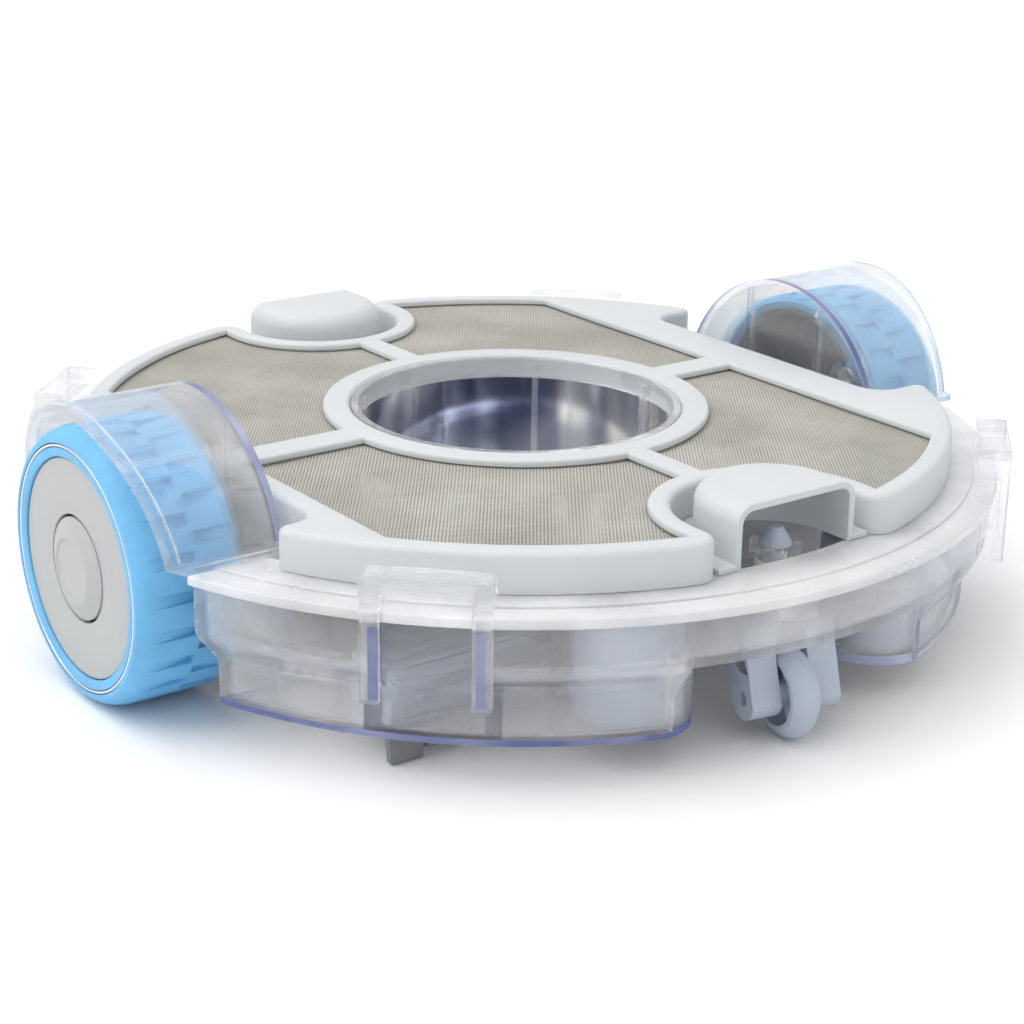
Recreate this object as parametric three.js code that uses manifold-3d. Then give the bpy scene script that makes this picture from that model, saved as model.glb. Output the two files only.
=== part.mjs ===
// Lower unit of a round robotic pool cleaner: a clear base tray on two drive wheels and two
// swivel casters, with a lift-off filter deck. Millimetres, +Z up, origin on the ground under
// the centre. X runs along the wheel axle, Y along the direction of travel.

import * as THREE from 'three';
import { mergeVertices } from 'three/addons/utils/BufferGeometryUtils.js';
import Module from 'manifold-3d';

const wasm = await Module();
wasm.setup();

// ---------------------------------------------------------------- driving dimensions

const GAP = 0.3; // clearance between neighbouring pieces

// drive wheels
const WHEEL_R = 50;
const AXLE_Z = WHEEL_R;
const WHEEL_FACE_X = 190.5; // outer face of each tyre, from the centre
const TYRE_WIDTH = 40;
const TRIM_RING_R = 43.9;
const HUB_DISC_R = 39.5;
const HUB_RECESS = 1.6; // hub disc behind the tyre's outer face
const HUB_CAP_R = 18.5;
const DRUM_R = 44.2;
const AXLE_R = 4;
const SHOULDER_R = 7; // thick part of the axle
const FLANGE_R = 10;
const AXLE_HEAD_R = 7.5;
const WHEEL_FACETS = 36; // sides of the round pieces of a wheel
const WHEEL_BOLTS = 2;
const WHEEL_BOLT_CIRCLE_R = 35.5;
const WHEEL_BOLT_ANGLE = 36; // degrees above the front
const DRUM_WEB_X = -9; // inner side of the drum's web, back from the wheel's face
const DRUM_FACE_X = -6.3;

// base tray
const TRAY_R = 186; // outer lip
const SKIRT_R = 184;
const BASIN_R = 176;
const BASIN_CORNER_R = 22.6; // around each ballast cup
const WALL = 2.6;
const FLOOR_Z = 13.5;
const FLOOR_THICK = 3.5;
const SKIRT_BOTTOM_Z = 43;
const SHELF_Z = 64.7;
const SHELF_INNER_R = 160;
const SHELF_STEP_R = 177;
const WHEEL_WELL_X = 141; // inner face of the wheel well
const WHEEL_WELL_HALF_Y = 58;
const RECESS_HALF_X = 35; // open recess around each caster
const RECESS_INNER_Y = 117;
const FACETS = 48; // sides of the large round pieces

// latch frames on the diagonals
const LATCH_OUT_R = 189.5;
const LATCH_HALF_W = 21.5;
const LATCH_POST_W = 6.5;
const LATCH_BOTTOM_Z = 33;
const LATCH_TOP_Z = 77;
const LATCH_BAR_Z = 71.5;
const LATCH_POCKET_R = 176.5;

// wheel covers
const COVER_R = 58;
const COVER_WALL = 2.4;
const COVER_BASE_Z = 65;
const COVER_RIB_Y = 21;
const COVER_RIM = 1.5; // height of the rim round its outer edge
const COVER_REACH_R = 190; // outer edge, from the tray's centre
const COVER_FOOT_HALF_Y = 62;
const COVER_FOOT_THICK = 2.2;

// filter deck
const DECK_R = 168;
const DECK_TOP_Z = 79.5;
const DECK_BOTTOM_Z = 65;
const DECK_PLATE = 2.6;
const DECK_WALL = 2.4;
const NOTCH_HALF_Y = 70;
const NOTCH_LEFT_X = 134;
const NOTCH_RIGHT_X = 128;
const NOTCH_CORNER_R = 10;
const WING_CORNER_R = 4;
const SLOT_CORNER_R = 8;
const HOLE_R = 65;
const RING_R = 75.3;
const WINDOW_R = 160;
const WINDOW_LEFT_X = 125.5;
const WINDOW_RIGHT_X = 105;
const RIB_X_HALF = 7; // half width of the ribs that run along X
const RIB_Y_HALF = 4.8; // half width of the ribs that run along Y
const REBATE = 1.5; // ledge that each screen is bonded under
const REBATE_Z = 77.2;
const SCREEN_THICK = 0.7;

// centre well
const WELL_OUT_R = 64.5;
const WELL_IN_R = 62;
const WELL_FLOOR_Z = 22;
const WELL_TOP_Z = 70.7;
const WELL_RIB_ANGLES = [-6, 46, 136, 174, 226, 316];

// caster hoods
const HOOD_R = 27;
const HOOD_WALL = 2.6;
const HOOD_TOP_Z = 87.5;
const HOOD_MOUTH_Y = 160;
const HOOD_ARC_Y = 147.7; // centre of the round back of a hood
const HOOD_CUTOUT_R = 34.5;
const POD_ARC_R = 42.7;

// casters
const CASTER_Y = 150;
const CASTER_TRAIL = 13;
const CASTER_R = 16.5;
const CASTER_WIDTH = 11;
const CASTER_YAW = -12; // degrees, how the front caster stands in its rest position
const FORK_HALF_W = 17.5;
const FORK_HEAD_Z = 36;
const FORK_TOP_Z = 41.5;
const FORK_BACK_Y = 8;
const STEM_R = 3;
const STEM_TOP_Z = 66.7;
const CONE_R = 5.9; // the tip that snaps through the collar
const CONE_TOP_Z = 72.8;
const SPOKES = 5;
const BUSH_R = 7;
const BUSH_FLANGE_R = 10;
const BUSH_TOP_Z = 61.2;
const PIN_R = 2.45;
const PIN_BOSS_R = 7.5;
const RUNNING_FIT = 0.15;

// ballast
const BALLAST_X = 57.2;
const BALLAST_Y = 141.5;
const BALLAST_R = 19.2;
const BALLAST_TOP_Z = 56;

// intakes
const INTAKE_X0 = 58;
const INTAKE_X1 = 130;
const INTAKE_Y0 = 80;
const INTAKE_Y1 = 104;
const INTAKE_TOP_Z = 33;
const INTAKE_CORNER_R = 7;
const INTAKE_FOOT_Z = 24; // top of the foot along the outer side
const FLAP_THICK = 1.8;
const LIP_TIP_Z = 0.8;
const LIP_NOTCH_X = 116; // the lip is longer beyond this notch

const BIG = 400; // longer than the whole object, for cutters

// ---------------------------------------------------------------- helpers

// A closed three.js geometry as a solid that can be joined and cut.
function solid(geometry) {
  const plain = new THREE.BufferGeometry();
  plain.setAttribute('position', geometry.getAttribute('position').clone());
  if (geometry.index) {
    plain.setIndex(geometry.index.clone());
  }
  const merged = mergeVertices(plain, 1e-4);
  const index = merged.index.array;
  const triangles = [];
  for (let i = 0; i < index.length; i += 3) {
    const [a, b, c] = [index[i], index[i + 1], index[i + 2]];
    if (a !== b && b !== c && c !== a) {
      triangles.push(a, b, c);
    }
  }
  const mesh = new wasm.Mesh({
    numProp: 3,
    vertProperties: new Float32Array(merged.getAttribute('position').array),
    triVerts: new Uint32Array(triangles),
  });
  return new wasm.Manifold(mesh);
}

function geometryOf(manifold) {
  const mesh = manifold.getMesh();
  const geometry = new THREE.BufferGeometry();
  geometry.setAttribute('position', new THREE.BufferAttribute(mesh.vertProperties, 3));
  geometry.setIndex(new THREE.BufferAttribute(mesh.triVerts, 1));
  return geometry;
}

function join(list) {
  return list.reduce((sum, next) => sum.add(next));
}

function box(x0, x1, y0, y1, z0, z1) {
  const geometry = new THREE.BoxGeometry(x1 - x0, y1 - y0, z1 - z0);
  geometry.translate((x0 + x1) / 2, (y0 + y1) / 2, (z0 + z1) / 2);
  return solid(geometry);
}

function rodZ(radius, z0, z1, facets = 24, topRadius = radius) {
  const geometry = new THREE.CylinderGeometry(topRadius, radius, z1 - z0, facets);
  geometry.rotateX(Math.PI / 2);
  geometry.translate(0, 0, (z0 + z1) / 2);
  return solid(geometry);
}

function rodX(radius, x0, x1, facets = 24) {
  const geometry = new THREE.CylinderGeometry(radius, radius, x1 - x0, facets);
  geometry.rotateZ(-Math.PI / 2);
  geometry.translate((x0 + x1) / 2, 0, 0);
  return solid(geometry);
}

// A profile of [radius, height] points turned around Z.
function turned(profile, facets = FACETS) {
  const points = profile.map(([r, z]) => new THREE.Vector2(r, z));
  const geometry = new THREE.LatheGeometry(points, facets);
  geometry.rotateX(Math.PI / 2);
  return solid(geometry);
}

// The same around the X axis, height running along +X. A profile that doesn't start on the axis
// is closed on itself.
function turnedX(profile, facets) {
  const startsOnAxis = profile[0][0] === 0;
  const points = startsOnAxis ? profile : [...profile, profile[0]];
  return turned(points, facets).rotate([0, 90, 0]);
}

function tubeZ(outer, inner, z0, z1, facets = 24) {
  return turned([[inner, z0], [outer, z0], [outer, z1], [inner, z1], [inner, z0]], facets);
}

function arc(cx, cy, r, from, to, steps) {
  const points = [];
  for (let i = 0; i <= steps; i += 1) {
    const angle = from + ((to - from) * i) / steps;
    points.push([cx + r * Math.cos(angle), cy + r * Math.sin(angle)]);
  }
  return points;
}

function slab(points, z0, z1) {
  const shape = new THREE.Shape(points.map(([x, y]) => new THREE.Vector2(x, y)));
  const geometry = new THREE.ExtrudeGeometry(shape, { depth: z1 - z0, bevelEnabled: false });
  geometry.translate(0, 0, z0);
  return solid(geometry);
}

// An outline in Y and Z, given a thickness along X.
function slabX(points, x0, x1) {
  return slab(points, x0, x1).rotate([90, 0, 90]);
}

function rear(manifold) {
  return manifold.rotate([0, 0, 180]);
}

function mirrored(manifold) {
  return manifold.mirror([1, 0, 0]);
}

function colour(hex, roughness, metalness = 0, opacity = 1) {
  return new THREE.MeshStandardMaterial({
    color: hex,
    roughness,
    metalness,
    opacity,
    transparent: opacity < 1,
  });
}

const clearPlastic = colour(0xe4e6f2, 0.08, 0, 0.35);
const smokedPlastic = colour(0x333a4c, 0.1);
const deckPlastic = colour(0xdfe2e4, 0.45);
const casterPlastic = colour(0xb9c2d2, 0.4);
const bushPlastic = colour(0xf0f0ee, 0.4);
const tyreRubber = colour(0x63b4ea, 0.55);
const hubPlastic = colour(0xcdcfcf, 0.4);
const drumPlastic = colour(0x3b4254, 0.4);
const lipPlastic = colour(0x7c8284, 0.5);
const screenCloth = colour(0xb3b1a8, 0.7);
const steel = colour(0xb8babd, 0.25, 1);

// The corners of the plan, as signs of X and Y.
const CORNERS = {
  front_left: [-1, -1],
  front_right: [1, -1],
  rear_right: [1, 1],
  rear_left: [-1, 1],
};

const part = new THREE.Group();

function add(name, manifold, material) {
  const mesh = new THREE.Mesh(geometryOf(manifold), material);
  mesh.name = name;
  part.add(mesh);
}

// ---------------------------------------------------------------- base tray

// The four latch frames stand on the diagonals. A piece drawn at +X is turned to each.
const DIAGONALS = { front_left: 225, front_right: 315, rear_right: 45, rear_left: 135 };

function wheelWells(grow) {
  const half = WHEEL_WELL_HALF_Y + grow;
  const one = box(WHEEL_WELL_X - grow, BIG, -half, half, -BIG, BIG);
  return one.add(mirrored(one));
}

// A recess takes the corner off the basin on both sides, so that its wall wraps the ballast cup.
function casterRecesses(grow) {
  const half = RECESS_HALF_X + grow;
  const top = SKIRT_BOTTOM_Z + grow;
  const middle = box(-half, half, -BIG, -(RECESS_INNER_Y - grow), -BIG, top);
  const corner = box(RECESS_HALF_X, BALLAST_X, -BIG, -BALLAST_Y, -BIG, top);
  const round = rodZ(BASIN_CORNER_R - grow, -BIG, BIG, 36).translate([BALLAST_X, -BALLAST_Y, 0]);
  const cut = corner.subtract(round);
  const one = join([middle, cut, mirrored(cut)]);
  return one.add(rear(one));
}

function latchPockets(grow) {
  const half = LATCH_HALF_W - LATCH_POST_W + grow;
  const top = SHELF_Z - WALL - 2 + grow;
  const one = box(LATCH_POCKET_R - grow, BIG, -half, half, -BIG, top);
  return join(Object.values(DIAGONALS).map((angle) => one.rotate([0, 0, angle])));
}

function pockets(grow) {
  return join([wheelWells(grow), casterRecesses(grow), latchPockets(grow)]);
}

function trayOutside() {
  return turned([
    [0, FLOOR_Z],
    [BASIN_R - 3, FLOOR_Z],
    [BASIN_R, FLOOR_Z + 3],
    [BASIN_R, 32],
    [BASIN_R + 2.5, 38],
    [SKIRT_R, SKIRT_BOTTOM_Z],
    [SKIRT_R, 60],
    [TRAY_R, 60],
    [TRAY_R, SHELF_Z - 1],
    [SHELF_STEP_R, SHELF_Z - 1],
    [SHELF_STEP_R, SHELF_Z],
    [0, SHELF_Z],
  ]);
}

function trayInside() {
  const floorTop = FLOOR_Z + FLOOR_THICK;
  return turned([
    [0, floorTop],
    [BASIN_R - WALL - 1, floorTop],
    [BASIN_R - WALL, floorTop + 1],
    [BASIN_R - WALL, 33],
    [BASIN_R, 40],
    [SKIRT_R - WALL, SKIRT_BOTTOM_Z + WALL],
    [SKIRT_R - WALL, SHELF_Z - WALL],
    [SHELF_INNER_R, SHELF_Z - WALL],
    [SHELF_INNER_R, SHELF_Z + 1],
    [0, SHELF_Z + 1],
  ]);
}

function axleHoles() {
  return rodX(AXLE_R + GAP, -BIG, BIG).translate([0, 0, AXLE_Z]);
}

function bushHoles() {
  const hole = rodZ(BUSH_R + GAP, SKIRT_BOTTOM_Z - 5, SHELF_Z).translate([0, -CASTER_Y, 0]);
  return hole.add(rear(hole));
}

function intakeOutline(shrink) {
  const [x0, x1] = [INTAKE_X0 + shrink, INTAKE_X1 - shrink];
  const [y0, y1] = [INTAKE_Y0 + shrink, INTAKE_Y1 - shrink];
  const r = INTAKE_CORNER_R - shrink;
  const turn = Math.PI / 2;
  return [
    ...arc(x1 - r, y1 - r, r, 0, turn, 5),
    ...arc(x0 + r, y1 - r, r, turn, 2 * turn, 5),
    ...arc(x0 + r, y0 + r, r, 2 * turn, 3 * turn, 5),
    ...arc(x1 - r, y0 + r, r, 3 * turn, 4 * turn, 5),
  ];
}

// The front intake lies at -X, -Y and the rear one diametrically opposite.
function intakeSlots() {
  const slot = slab(intakeOutline(DECK_WALL), FLOOR_Z - 5, FLOOR_Z + FLOOR_THICK + 2);
  return slot.add(rear(slot));
}

function baseTray() {
  const shell = trayOutside().subtract(pockets(0));
  const hollow = trayInside().subtract(pockets(WALL));
  return shell.subtract(hollow).subtract(axleHoles()).subtract(bushHoles()).subtract(intakeSlots());
}

// The tray is one moulding; its four quarters are separate solids with a hair between them.
const wholeTray = baseTray();
for (const [place, [sx, sy]] of Object.entries(CORNERS)) {
  const quarter = box(GAP / 2, BIG, GAP / 2, BIG, 0, BIG).scale([sx, sy, 1]);
  add(`base_tray_${place}`, wholeTray.intersect(quarter), clearPlastic);
}

function latchFrame() {
  const half = LATCH_HALF_W;
  const inner = half - LATCH_POST_W;
  const outline = [
    [-half, LATCH_BOTTOM_Z],
    [-inner, LATCH_BOTTOM_Z],
    [-inner, LATCH_BAR_Z],
    [inner, LATCH_BAR_Z],
    [inner, LATCH_BOTTOM_Z],
    [half, LATCH_BOTTOM_Z],
    [half, LATCH_TOP_Z],
    [-half, LATCH_TOP_Z],
  ];
  const frame = slabX(outline, SKIRT_R - 6, LATCH_OUT_R);
  const trayKeepOut = rodZ(TRAY_R + GAP, 0, SHELF_Z + GAP, FACETS);
  return frame.subtract(trayKeepOut);
}

for (const [place, angle] of Object.entries(DIAGONALS)) {
  add(`latch_frame_${place}`, latchFrame().rotate([0, 0, angle]), clearPlastic);
}

// ---------------------------------------------------------------- wheel covers

function wheelCover() {
  const x0 = WHEEL_WELL_X - WALL;
  const inside = COVER_R - COVER_WALL;
  const up = [0, 0, AXLE_Z];
  const arch = rodX(COVER_R, x0, BIG, FACETS).subtract(rodX(inside, WHEEL_WELL_X, BIG + 1, FACETS));
  const rimOutside = rodX(COVER_R + COVER_RIM, x0, BIG, FACETS);
  const rimRing = rimOutside.subtract(rodX(inside, x0 - 1, BIG + 1, FACETS));
  const rim = rimRing.translate(up).subtract(rodZ(COVER_REACH_R - 3, -BIG, BIG, FACETS));
  const footTop = COVER_BASE_Z + COVER_FOOT_THICK;
  const foot = box(x0, BIG, -COVER_FOOT_HALF_Y, COVER_FOOT_HALF_Y, COVER_BASE_Z, footTop);
  const footHole = box(WHEEL_WELL_X, BIG + 1, -inside + 1, inside - 1, 0, AXLE_Z * 2);
  const ribs = [-COVER_RIB_Y, COVER_RIB_Y].map((y) => (
    box(WHEEL_WELL_X - 0.5, WHEEL_WELL_X + 2, y - 1, y + 1, COVER_BASE_Z, AXLE_Z + COVER_R - 7)
  ));
  const whole = join([arch.translate(up), rim, foot.subtract(footHole), ...ribs]);
  const aboveTray = box(-BIG, BIG, -BIG, BIG, COVER_BASE_Z, BIG);
  return whole.intersect(aboveTray).intersect(rodZ(COVER_REACH_R, 0, BIG, FACETS));
}

add('wheel_cover_right', wheelCover(), clearPlastic);
add('wheel_cover_left', mirrored(wheelCover()), clearPlastic);

// ---------------------------------------------------------------- drive wheels

// Wheel pieces are drawn about the X axis with the outer face at 0 and depth along -X.
function placeWheelPiece(manifold, side) {
  const outward = manifold.translate([WHEEL_FACE_X, 0, AXLE_Z]);
  return side === 'right' ? outward : mirrored(outward);
}

function tyre() {
  const bead = HUB_DISC_R + GAP;
  const groove = 0.8; // half width of the seat of the trim ring
  return turnedX([
    [bead, DRUM_FACE_X + GAP],
    [DRUM_R + GAP, DRUM_FACE_X + GAP],
    [DRUM_R + GAP, 2 - TYRE_WIDTH],
    [47.5, -TYRE_WIDTH],
    [WHEEL_R, 3 - TYRE_WIDTH],
    [WHEEL_R, -8],
    [49.2, -3.6],
    [46.4, -0.3],
    [TRIM_RING_R + groove, -0.3],
    [TRIM_RING_R + groove, -2.1],
    [TRIM_RING_R - groove, -2.1],
    [TRIM_RING_R - groove, -0.6],
    [bead, -0.9],
  ], WHEEL_FACETS);
}

function trimRing() {
  return turnedX([
    [TRIM_RING_R - 0.5, -1.8],
    [TRIM_RING_R + 0.5, -1.8],
    [TRIM_RING_R + 0.5, -0.4],
    [TRIM_RING_R - 0.5, -0.4],
  ], WHEEL_FACETS);
}

function hubDisc() {
  const hole = HUB_CAP_R + 1;
  return turnedX([
    [hole, -4.6],
    [HUB_DISC_R, -4.6],
    [HUB_DISC_R, -HUB_RECESS - 0.3],
    [HUB_DISC_R - 0.6, -HUB_RECESS],
    [hole, -HUB_RECESS],
  ], WHEEL_FACETS);
}

// A low cone whose flat top carries a raised ring, its only ornament.
function hubCap() {
  return turnedX([
    [0, -3.4],
    [HUB_CAP_R, -3.4],
    [HUB_CAP_R, -HUB_RECESS],
    [13, 0.7],
    [12.2, 1],
    [11.4, 1],
    [10.8, 0.5],
    [0, 0.5],
  ], 24);
}

// A flat web with a rim; it turns on the axle's journal.
function wheelDrum() {
  const open = 2 - TYRE_WIDTH;
  const bore = AXLE_R + 0.1;
  const rimWall = 2.4;
  return turnedX([
    [bore, DRUM_WEB_X],
    [DRUM_R - rimWall, DRUM_WEB_X],
    [DRUM_R - rimWall, open],
    [DRUM_R, open],
    [DRUM_R, DRUM_FACE_X],
    [bore, DRUM_FACE_X],
  ], WHEEL_FACETS);
}

function wheelBolt(index) {
  const degrees = WHEEL_BOLT_ANGLE + (360 * index) / WHEEL_BOLTS;
  const angle = THREE.MathUtils.degToRad(degrees);
  const headFoot = 4 - TYRE_WIDTH;
  const shank = rodX(3.4, headFoot, DRUM_WEB_X - GAP, 16);
  const head = rodX(5, headFoot - 3, headFoot, 6);
  const place = [0, -WHEEL_BOLT_CIRCLE_R * Math.cos(angle), WHEEL_BOLT_CIRCLE_R * Math.sin(angle)];
  return shank.add(head).translate(place);
}

// A stepped axle. A flange and a thick shoulder clamp the tray's wall between them, and the drum
// turns on the journal between the shoulder and the slotted head.
function axle() {
  const wallInside = WHEEL_WELL_X - WALL - WHEEL_FACE_X;
  const wallOutside = WHEEL_WELL_X - WHEEL_FACE_X;
  const headFoot = DRUM_FACE_X + 0.4;
  const shaft = rodX(AXLE_R, wallInside - 1, headFoot + 0.2);
  const flange = rodX(FLANGE_R, wallInside - GAP - 3, wallInside - GAP);
  const shoulder = rodX(SHOULDER_R, wallOutside + GAP, DRUM_WEB_X - GAP);
  const head = rodX(AXLE_HEAD_R, headFoot, headFoot + 1.8);
  const slot = box(headFoot + 1, 0, -5, 5, -0.8, 0.8);
  return join([shaft, flange, shoulder, head]).subtract(slot);
}

for (const side of ['left', 'right']) {
  add(`tyre_${side}`, placeWheelPiece(tyre(), side), tyreRubber);
  add(`trim_ring_${side}`, placeWheelPiece(trimRing(), side), steel);
  add(`hub_disc_${side}`, placeWheelPiece(hubDisc(), side), hubPlastic);
  add(`hub_cap_${side}`, placeWheelPiece(hubCap(), side), hubPlastic);
  add(`wheel_drum_${side}`, placeWheelPiece(wheelDrum(), side), drumPlastic);
  add(`axle_${side}`, placeWheelPiece(axle(), side), steel);
  for (let i = 0; i < WHEEL_BOLTS; i += 1) {
    add(`wheel_bolt_${side}_${i + 1}`, placeWheelPiece(wheelBolt(i), side), steel);
  }
}

// ---------------------------------------------------------------- filter deck

// Half of the outline, from the front cut-out to the rear one, on the side of +X. The corners
// are round: at the cut-out, at the tip of the wing and, the other way, inside the wheel notch.
function deckHalfOutline(notchX, inset) {
  const turn = Math.PI / 2;
  const slotX = HOOD_CUTOUT_R + SLOT_CORNER_R;
  const slotY = Math.sqrt((DECK_R - SLOT_CORNER_R) ** 2 - slotX ** 2);
  const slotAngle = Math.atan2(slotY, slotX);
  const wingY = NOTCH_HALF_Y + WING_CORNER_R;
  const wingX = Math.sqrt((DECK_R - WING_CORNER_R) ** 2 - wingY ** 2);
  const wingAngle = Math.atan2(wingY, wingX);
  const notch = [notchX + NOTCH_CORNER_R, NOTCH_HALF_Y - NOTCH_CORNER_R];
  return [
    ...arc(slotX, -slotY, SLOT_CORNER_R - inset, -2 * turn, -slotAngle, 4),
    ...arc(0, 0, DECK_R - inset, -slotAngle, -wingAngle, 6),
    ...arc(wingX, -wingY, WING_CORNER_R - inset, -wingAngle, turn, 3),
    ...arc(notch[0], -notch[1], NOTCH_CORNER_R + inset, -turn, -2 * turn, 3),
    ...arc(notch[0], notch[1], NOTCH_CORNER_R + inset, 2 * turn, turn, 3),
    ...arc(wingX, wingY, WING_CORNER_R - inset, -turn, wingAngle, 3),
    ...arc(0, 0, DECK_R - inset, wingAngle, slotAngle, 6),
    ...arc(slotX, slotY, SLOT_CORNER_R - inset, slotAngle, 2 * turn, 4),
  ];
}

function cutoutArc(inset, side) {
  const turn = side === 'rear' ? 0 : Math.PI;
  const centreY = side === 'rear' ? HOOD_ARC_Y : -HOOD_ARC_Y;
  return arc(0, centreY, HOOD_CUTOUT_R + inset, turn, turn - Math.PI, 14);
}

function deckOutline(inset) {
  const leftHalf = deckHalfOutline(NOTCH_LEFT_X, inset).map(([x, y]) => [-x, -y]);
  return [
    ...deckHalfOutline(NOTCH_RIGHT_X, inset),
    ...cutoutArc(inset, 'rear'),
    ...leftHalf,
    ...cutoutArc(inset, 'front'),
  ];
}

// One filter window in the +X, +Y quadrant, its edges moved outwards by grow.
function windowOutline(chordX, grow) {
  const ring = RING_R - grow;
  const outer = WINDOW_R + grow;
  const pod = POD_ARC_R - grow;
  const x0 = RIB_Y_HALF - grow;
  const y0 = RIB_X_HALF - grow;
  const x1 = chordX + grow;
  const outerY = (outer ** 2 + HOOD_ARC_Y ** 2 - pod ** 2) / (2 * HOOD_ARC_Y);
  const outerX = Math.sqrt(outer ** 2 - outerY ** 2);
  const podFrom = Math.atan2(outerY - HOOD_ARC_Y, outerX);
  const podTo = -Math.acos(x0 / pod);
  return [
    ...arc(0, 0, ring, Math.acos(x0 / ring), Math.asin(y0 / ring), 8),
    [x1, y0],
    ...arc(0, 0, outer, Math.acos(x1 / outer), Math.atan2(outerY, outerX), 6),
    ...arc(0, HOOD_ARC_Y, pod, podFrom, podTo, 7).slice(1),
  ];
}

function windowSlab(place, grow, z0, z1) {
  const [sx, sy] = CORNERS[place];
  const chord = sx < 0 ? WINDOW_LEFT_X : WINDOW_RIGHT_X;
  return slab(windowOutline(chord, grow).map(([x, y]) => [x * sx, y * sy]), z0, z1);
}

function filterDeck() {
  const under = DECK_BOTTOM_Z - 1;
  const plateBottom = DECK_TOP_Z - DECK_PLATE;
  let hollow = slab(deckOutline(DECK_WALL), under, plateBottom);
  hollow = hollow.subtract(rodZ(HOLE_R + DECK_WALL, 0, BIG, FACETS));
  let deck = slab(deckOutline(0), DECK_BOTTOM_Z, DECK_TOP_Z);
  for (const place of Object.keys(CORNERS)) {
    hollow = hollow.subtract(windowSlab(place, REBATE + DECK_WALL, under - 1, DECK_TOP_Z));
  }
  deck = deck.subtract(hollow).subtract(rodZ(HOLE_R, 0, BIG, FACETS));
  for (const place of Object.keys(CORNERS)) {
    deck = deck.subtract(windowSlab(place, 0, under, DECK_TOP_Z + 1));
    deck = deck.subtract(windowSlab(place, REBATE, under, REBATE_Z));
  }
  return deck;
}

add('filter_deck', filterDeck(), deckPlastic);

for (const place of Object.keys(CORNERS)) {
  const top = REBATE_Z - GAP;
  add(`screen_${place}`, windowSlab(place, REBATE - GAP, top - SCREEN_THICK, top), screenCloth);
}

function wellCup() {
  return turned([
    [0, WELL_FLOOR_Z],
    [WELL_OUT_R - 3, WELL_FLOOR_Z],
    [WELL_OUT_R, WELL_FLOOR_Z + 3],
    [WELL_OUT_R, WELL_TOP_Z],
    [WELL_IN_R, WELL_TOP_Z],
    [WELL_IN_R, WELL_FLOOR_Z + WALL],
    [0, WELL_FLOOR_Z + WALL],
  ]);
}

function wellRing() {
  const ribFoot = WELL_FLOOR_Z + WALL + GAP;
  const ring = tubeZ(WELL_OUT_R, WELL_IN_R - 0.6, WELL_TOP_Z + GAP, DECK_TOP_Z - 0.4, FACETS);
  const ribs = WELL_RIB_ANGLES.map((angle) => {
    const rib = box(WELL_IN_R - 2.6, WELL_IN_R - 0.4, -1.2, 1.2, ribFoot, DECK_TOP_Z - 2);
    return rib.rotate([0, 0, angle]);
  });
  return join([ring, ...ribs]);
}

add('well_cup', wellCup(), smokedPlastic);
add('well_ring', wellRing(), clearPlastic);

// ---------------------------------------------------------------- caster hoods

// A rounded U in plan, open towards the front, with a soft upper edge.
function hoodBody(radius, topZ, soft) {
  const r = radius - soft;
  const outline = [
    ...arc(0, -HOOD_ARC_Y, r, 0, Math.PI, 12),
    [-r, -BIG / 2],
    [r, -BIG / 2],
  ];
  const shape = new THREE.Shape(outline.map(([x, y]) => new THREE.Vector2(x, y)));
  const geometry = new THREE.ExtrudeGeometry(shape, {
    depth: topZ - soft,
    bevelSize: soft,
    bevelThickness: soft,
    bevelSegments: 2,
  });
  return solid(geometry);
}

function casterHood() {
  const outer = hoodBody(HOOD_R, HOOD_TOP_Z, 7);
  const inner = hoodBody(HOOD_R - HOOD_WALL, HOOD_TOP_Z - HOOD_WALL, 4.5);
  const reach = HOOD_CUTOUT_R - GAP;
  const footOutline = [
    ...arc(0, -HOOD_ARC_Y, reach, 0, Math.PI, 14),
    [-reach, -HOOD_MOUTH_Y],
    [reach, -HOOD_MOUTH_Y],
  ];
  const foot = slab(footOutline, DECK_BOTTOM_Z, DECK_BOTTOM_Z + 2);
  const shell = outer.add(foot).subtract(inner);
  return shell.intersect(box(-BIG, BIG, -HOOD_MOUTH_Y, BIG, DECK_BOTTOM_Z, BIG));
}

add('caster_hood_front', casterHood(), deckPlastic);
add('caster_hood_rear', rear(casterHood()), deckPlastic);

// ---------------------------------------------------------------- casters

// Caster pieces are drawn with the swivel axis on Z and the wheel trailing along -Y.
function placeCasterPiece(manifold, end) {
  const swivelled = manifold.rotate([0, 0, CASTER_YAW]);
  const front = swivelled.translate([0, -CASTER_Y, 0]);
  return end === 'front' ? front : rear(front);
}

// An arm slants from the head down to a round boss at the pin; a channel lightens its outside.
function forkArm() {
  const outline = [
    [-11, FORK_TOP_Z],
    ...arc(-CASTER_TRAIL, CASTER_R, PIN_BOSS_R, Math.PI * 1.08, Math.PI * 1.92, 10),
    [FORK_BACK_Y, FORK_HEAD_Z],
    [FORK_BACK_Y, FORK_TOP_Z],
  ];
  const channel = [
    [-8.5, FORK_HEAD_Z - 1],
    [-CASTER_TRAIL - 3.5, CASTER_R + 9],
    [-CASTER_TRAIL + 5, CASTER_R + 9],
    [5, FORK_HEAD_Z - 1],
  ];
  const arm = slabX(outline, CASTER_WIDTH / 2 + 0.7, FORK_HALF_W);
  return arm.subtract(slabX(channel, FORK_HALF_W - 8, FORK_HALF_W + 1));
}

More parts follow.
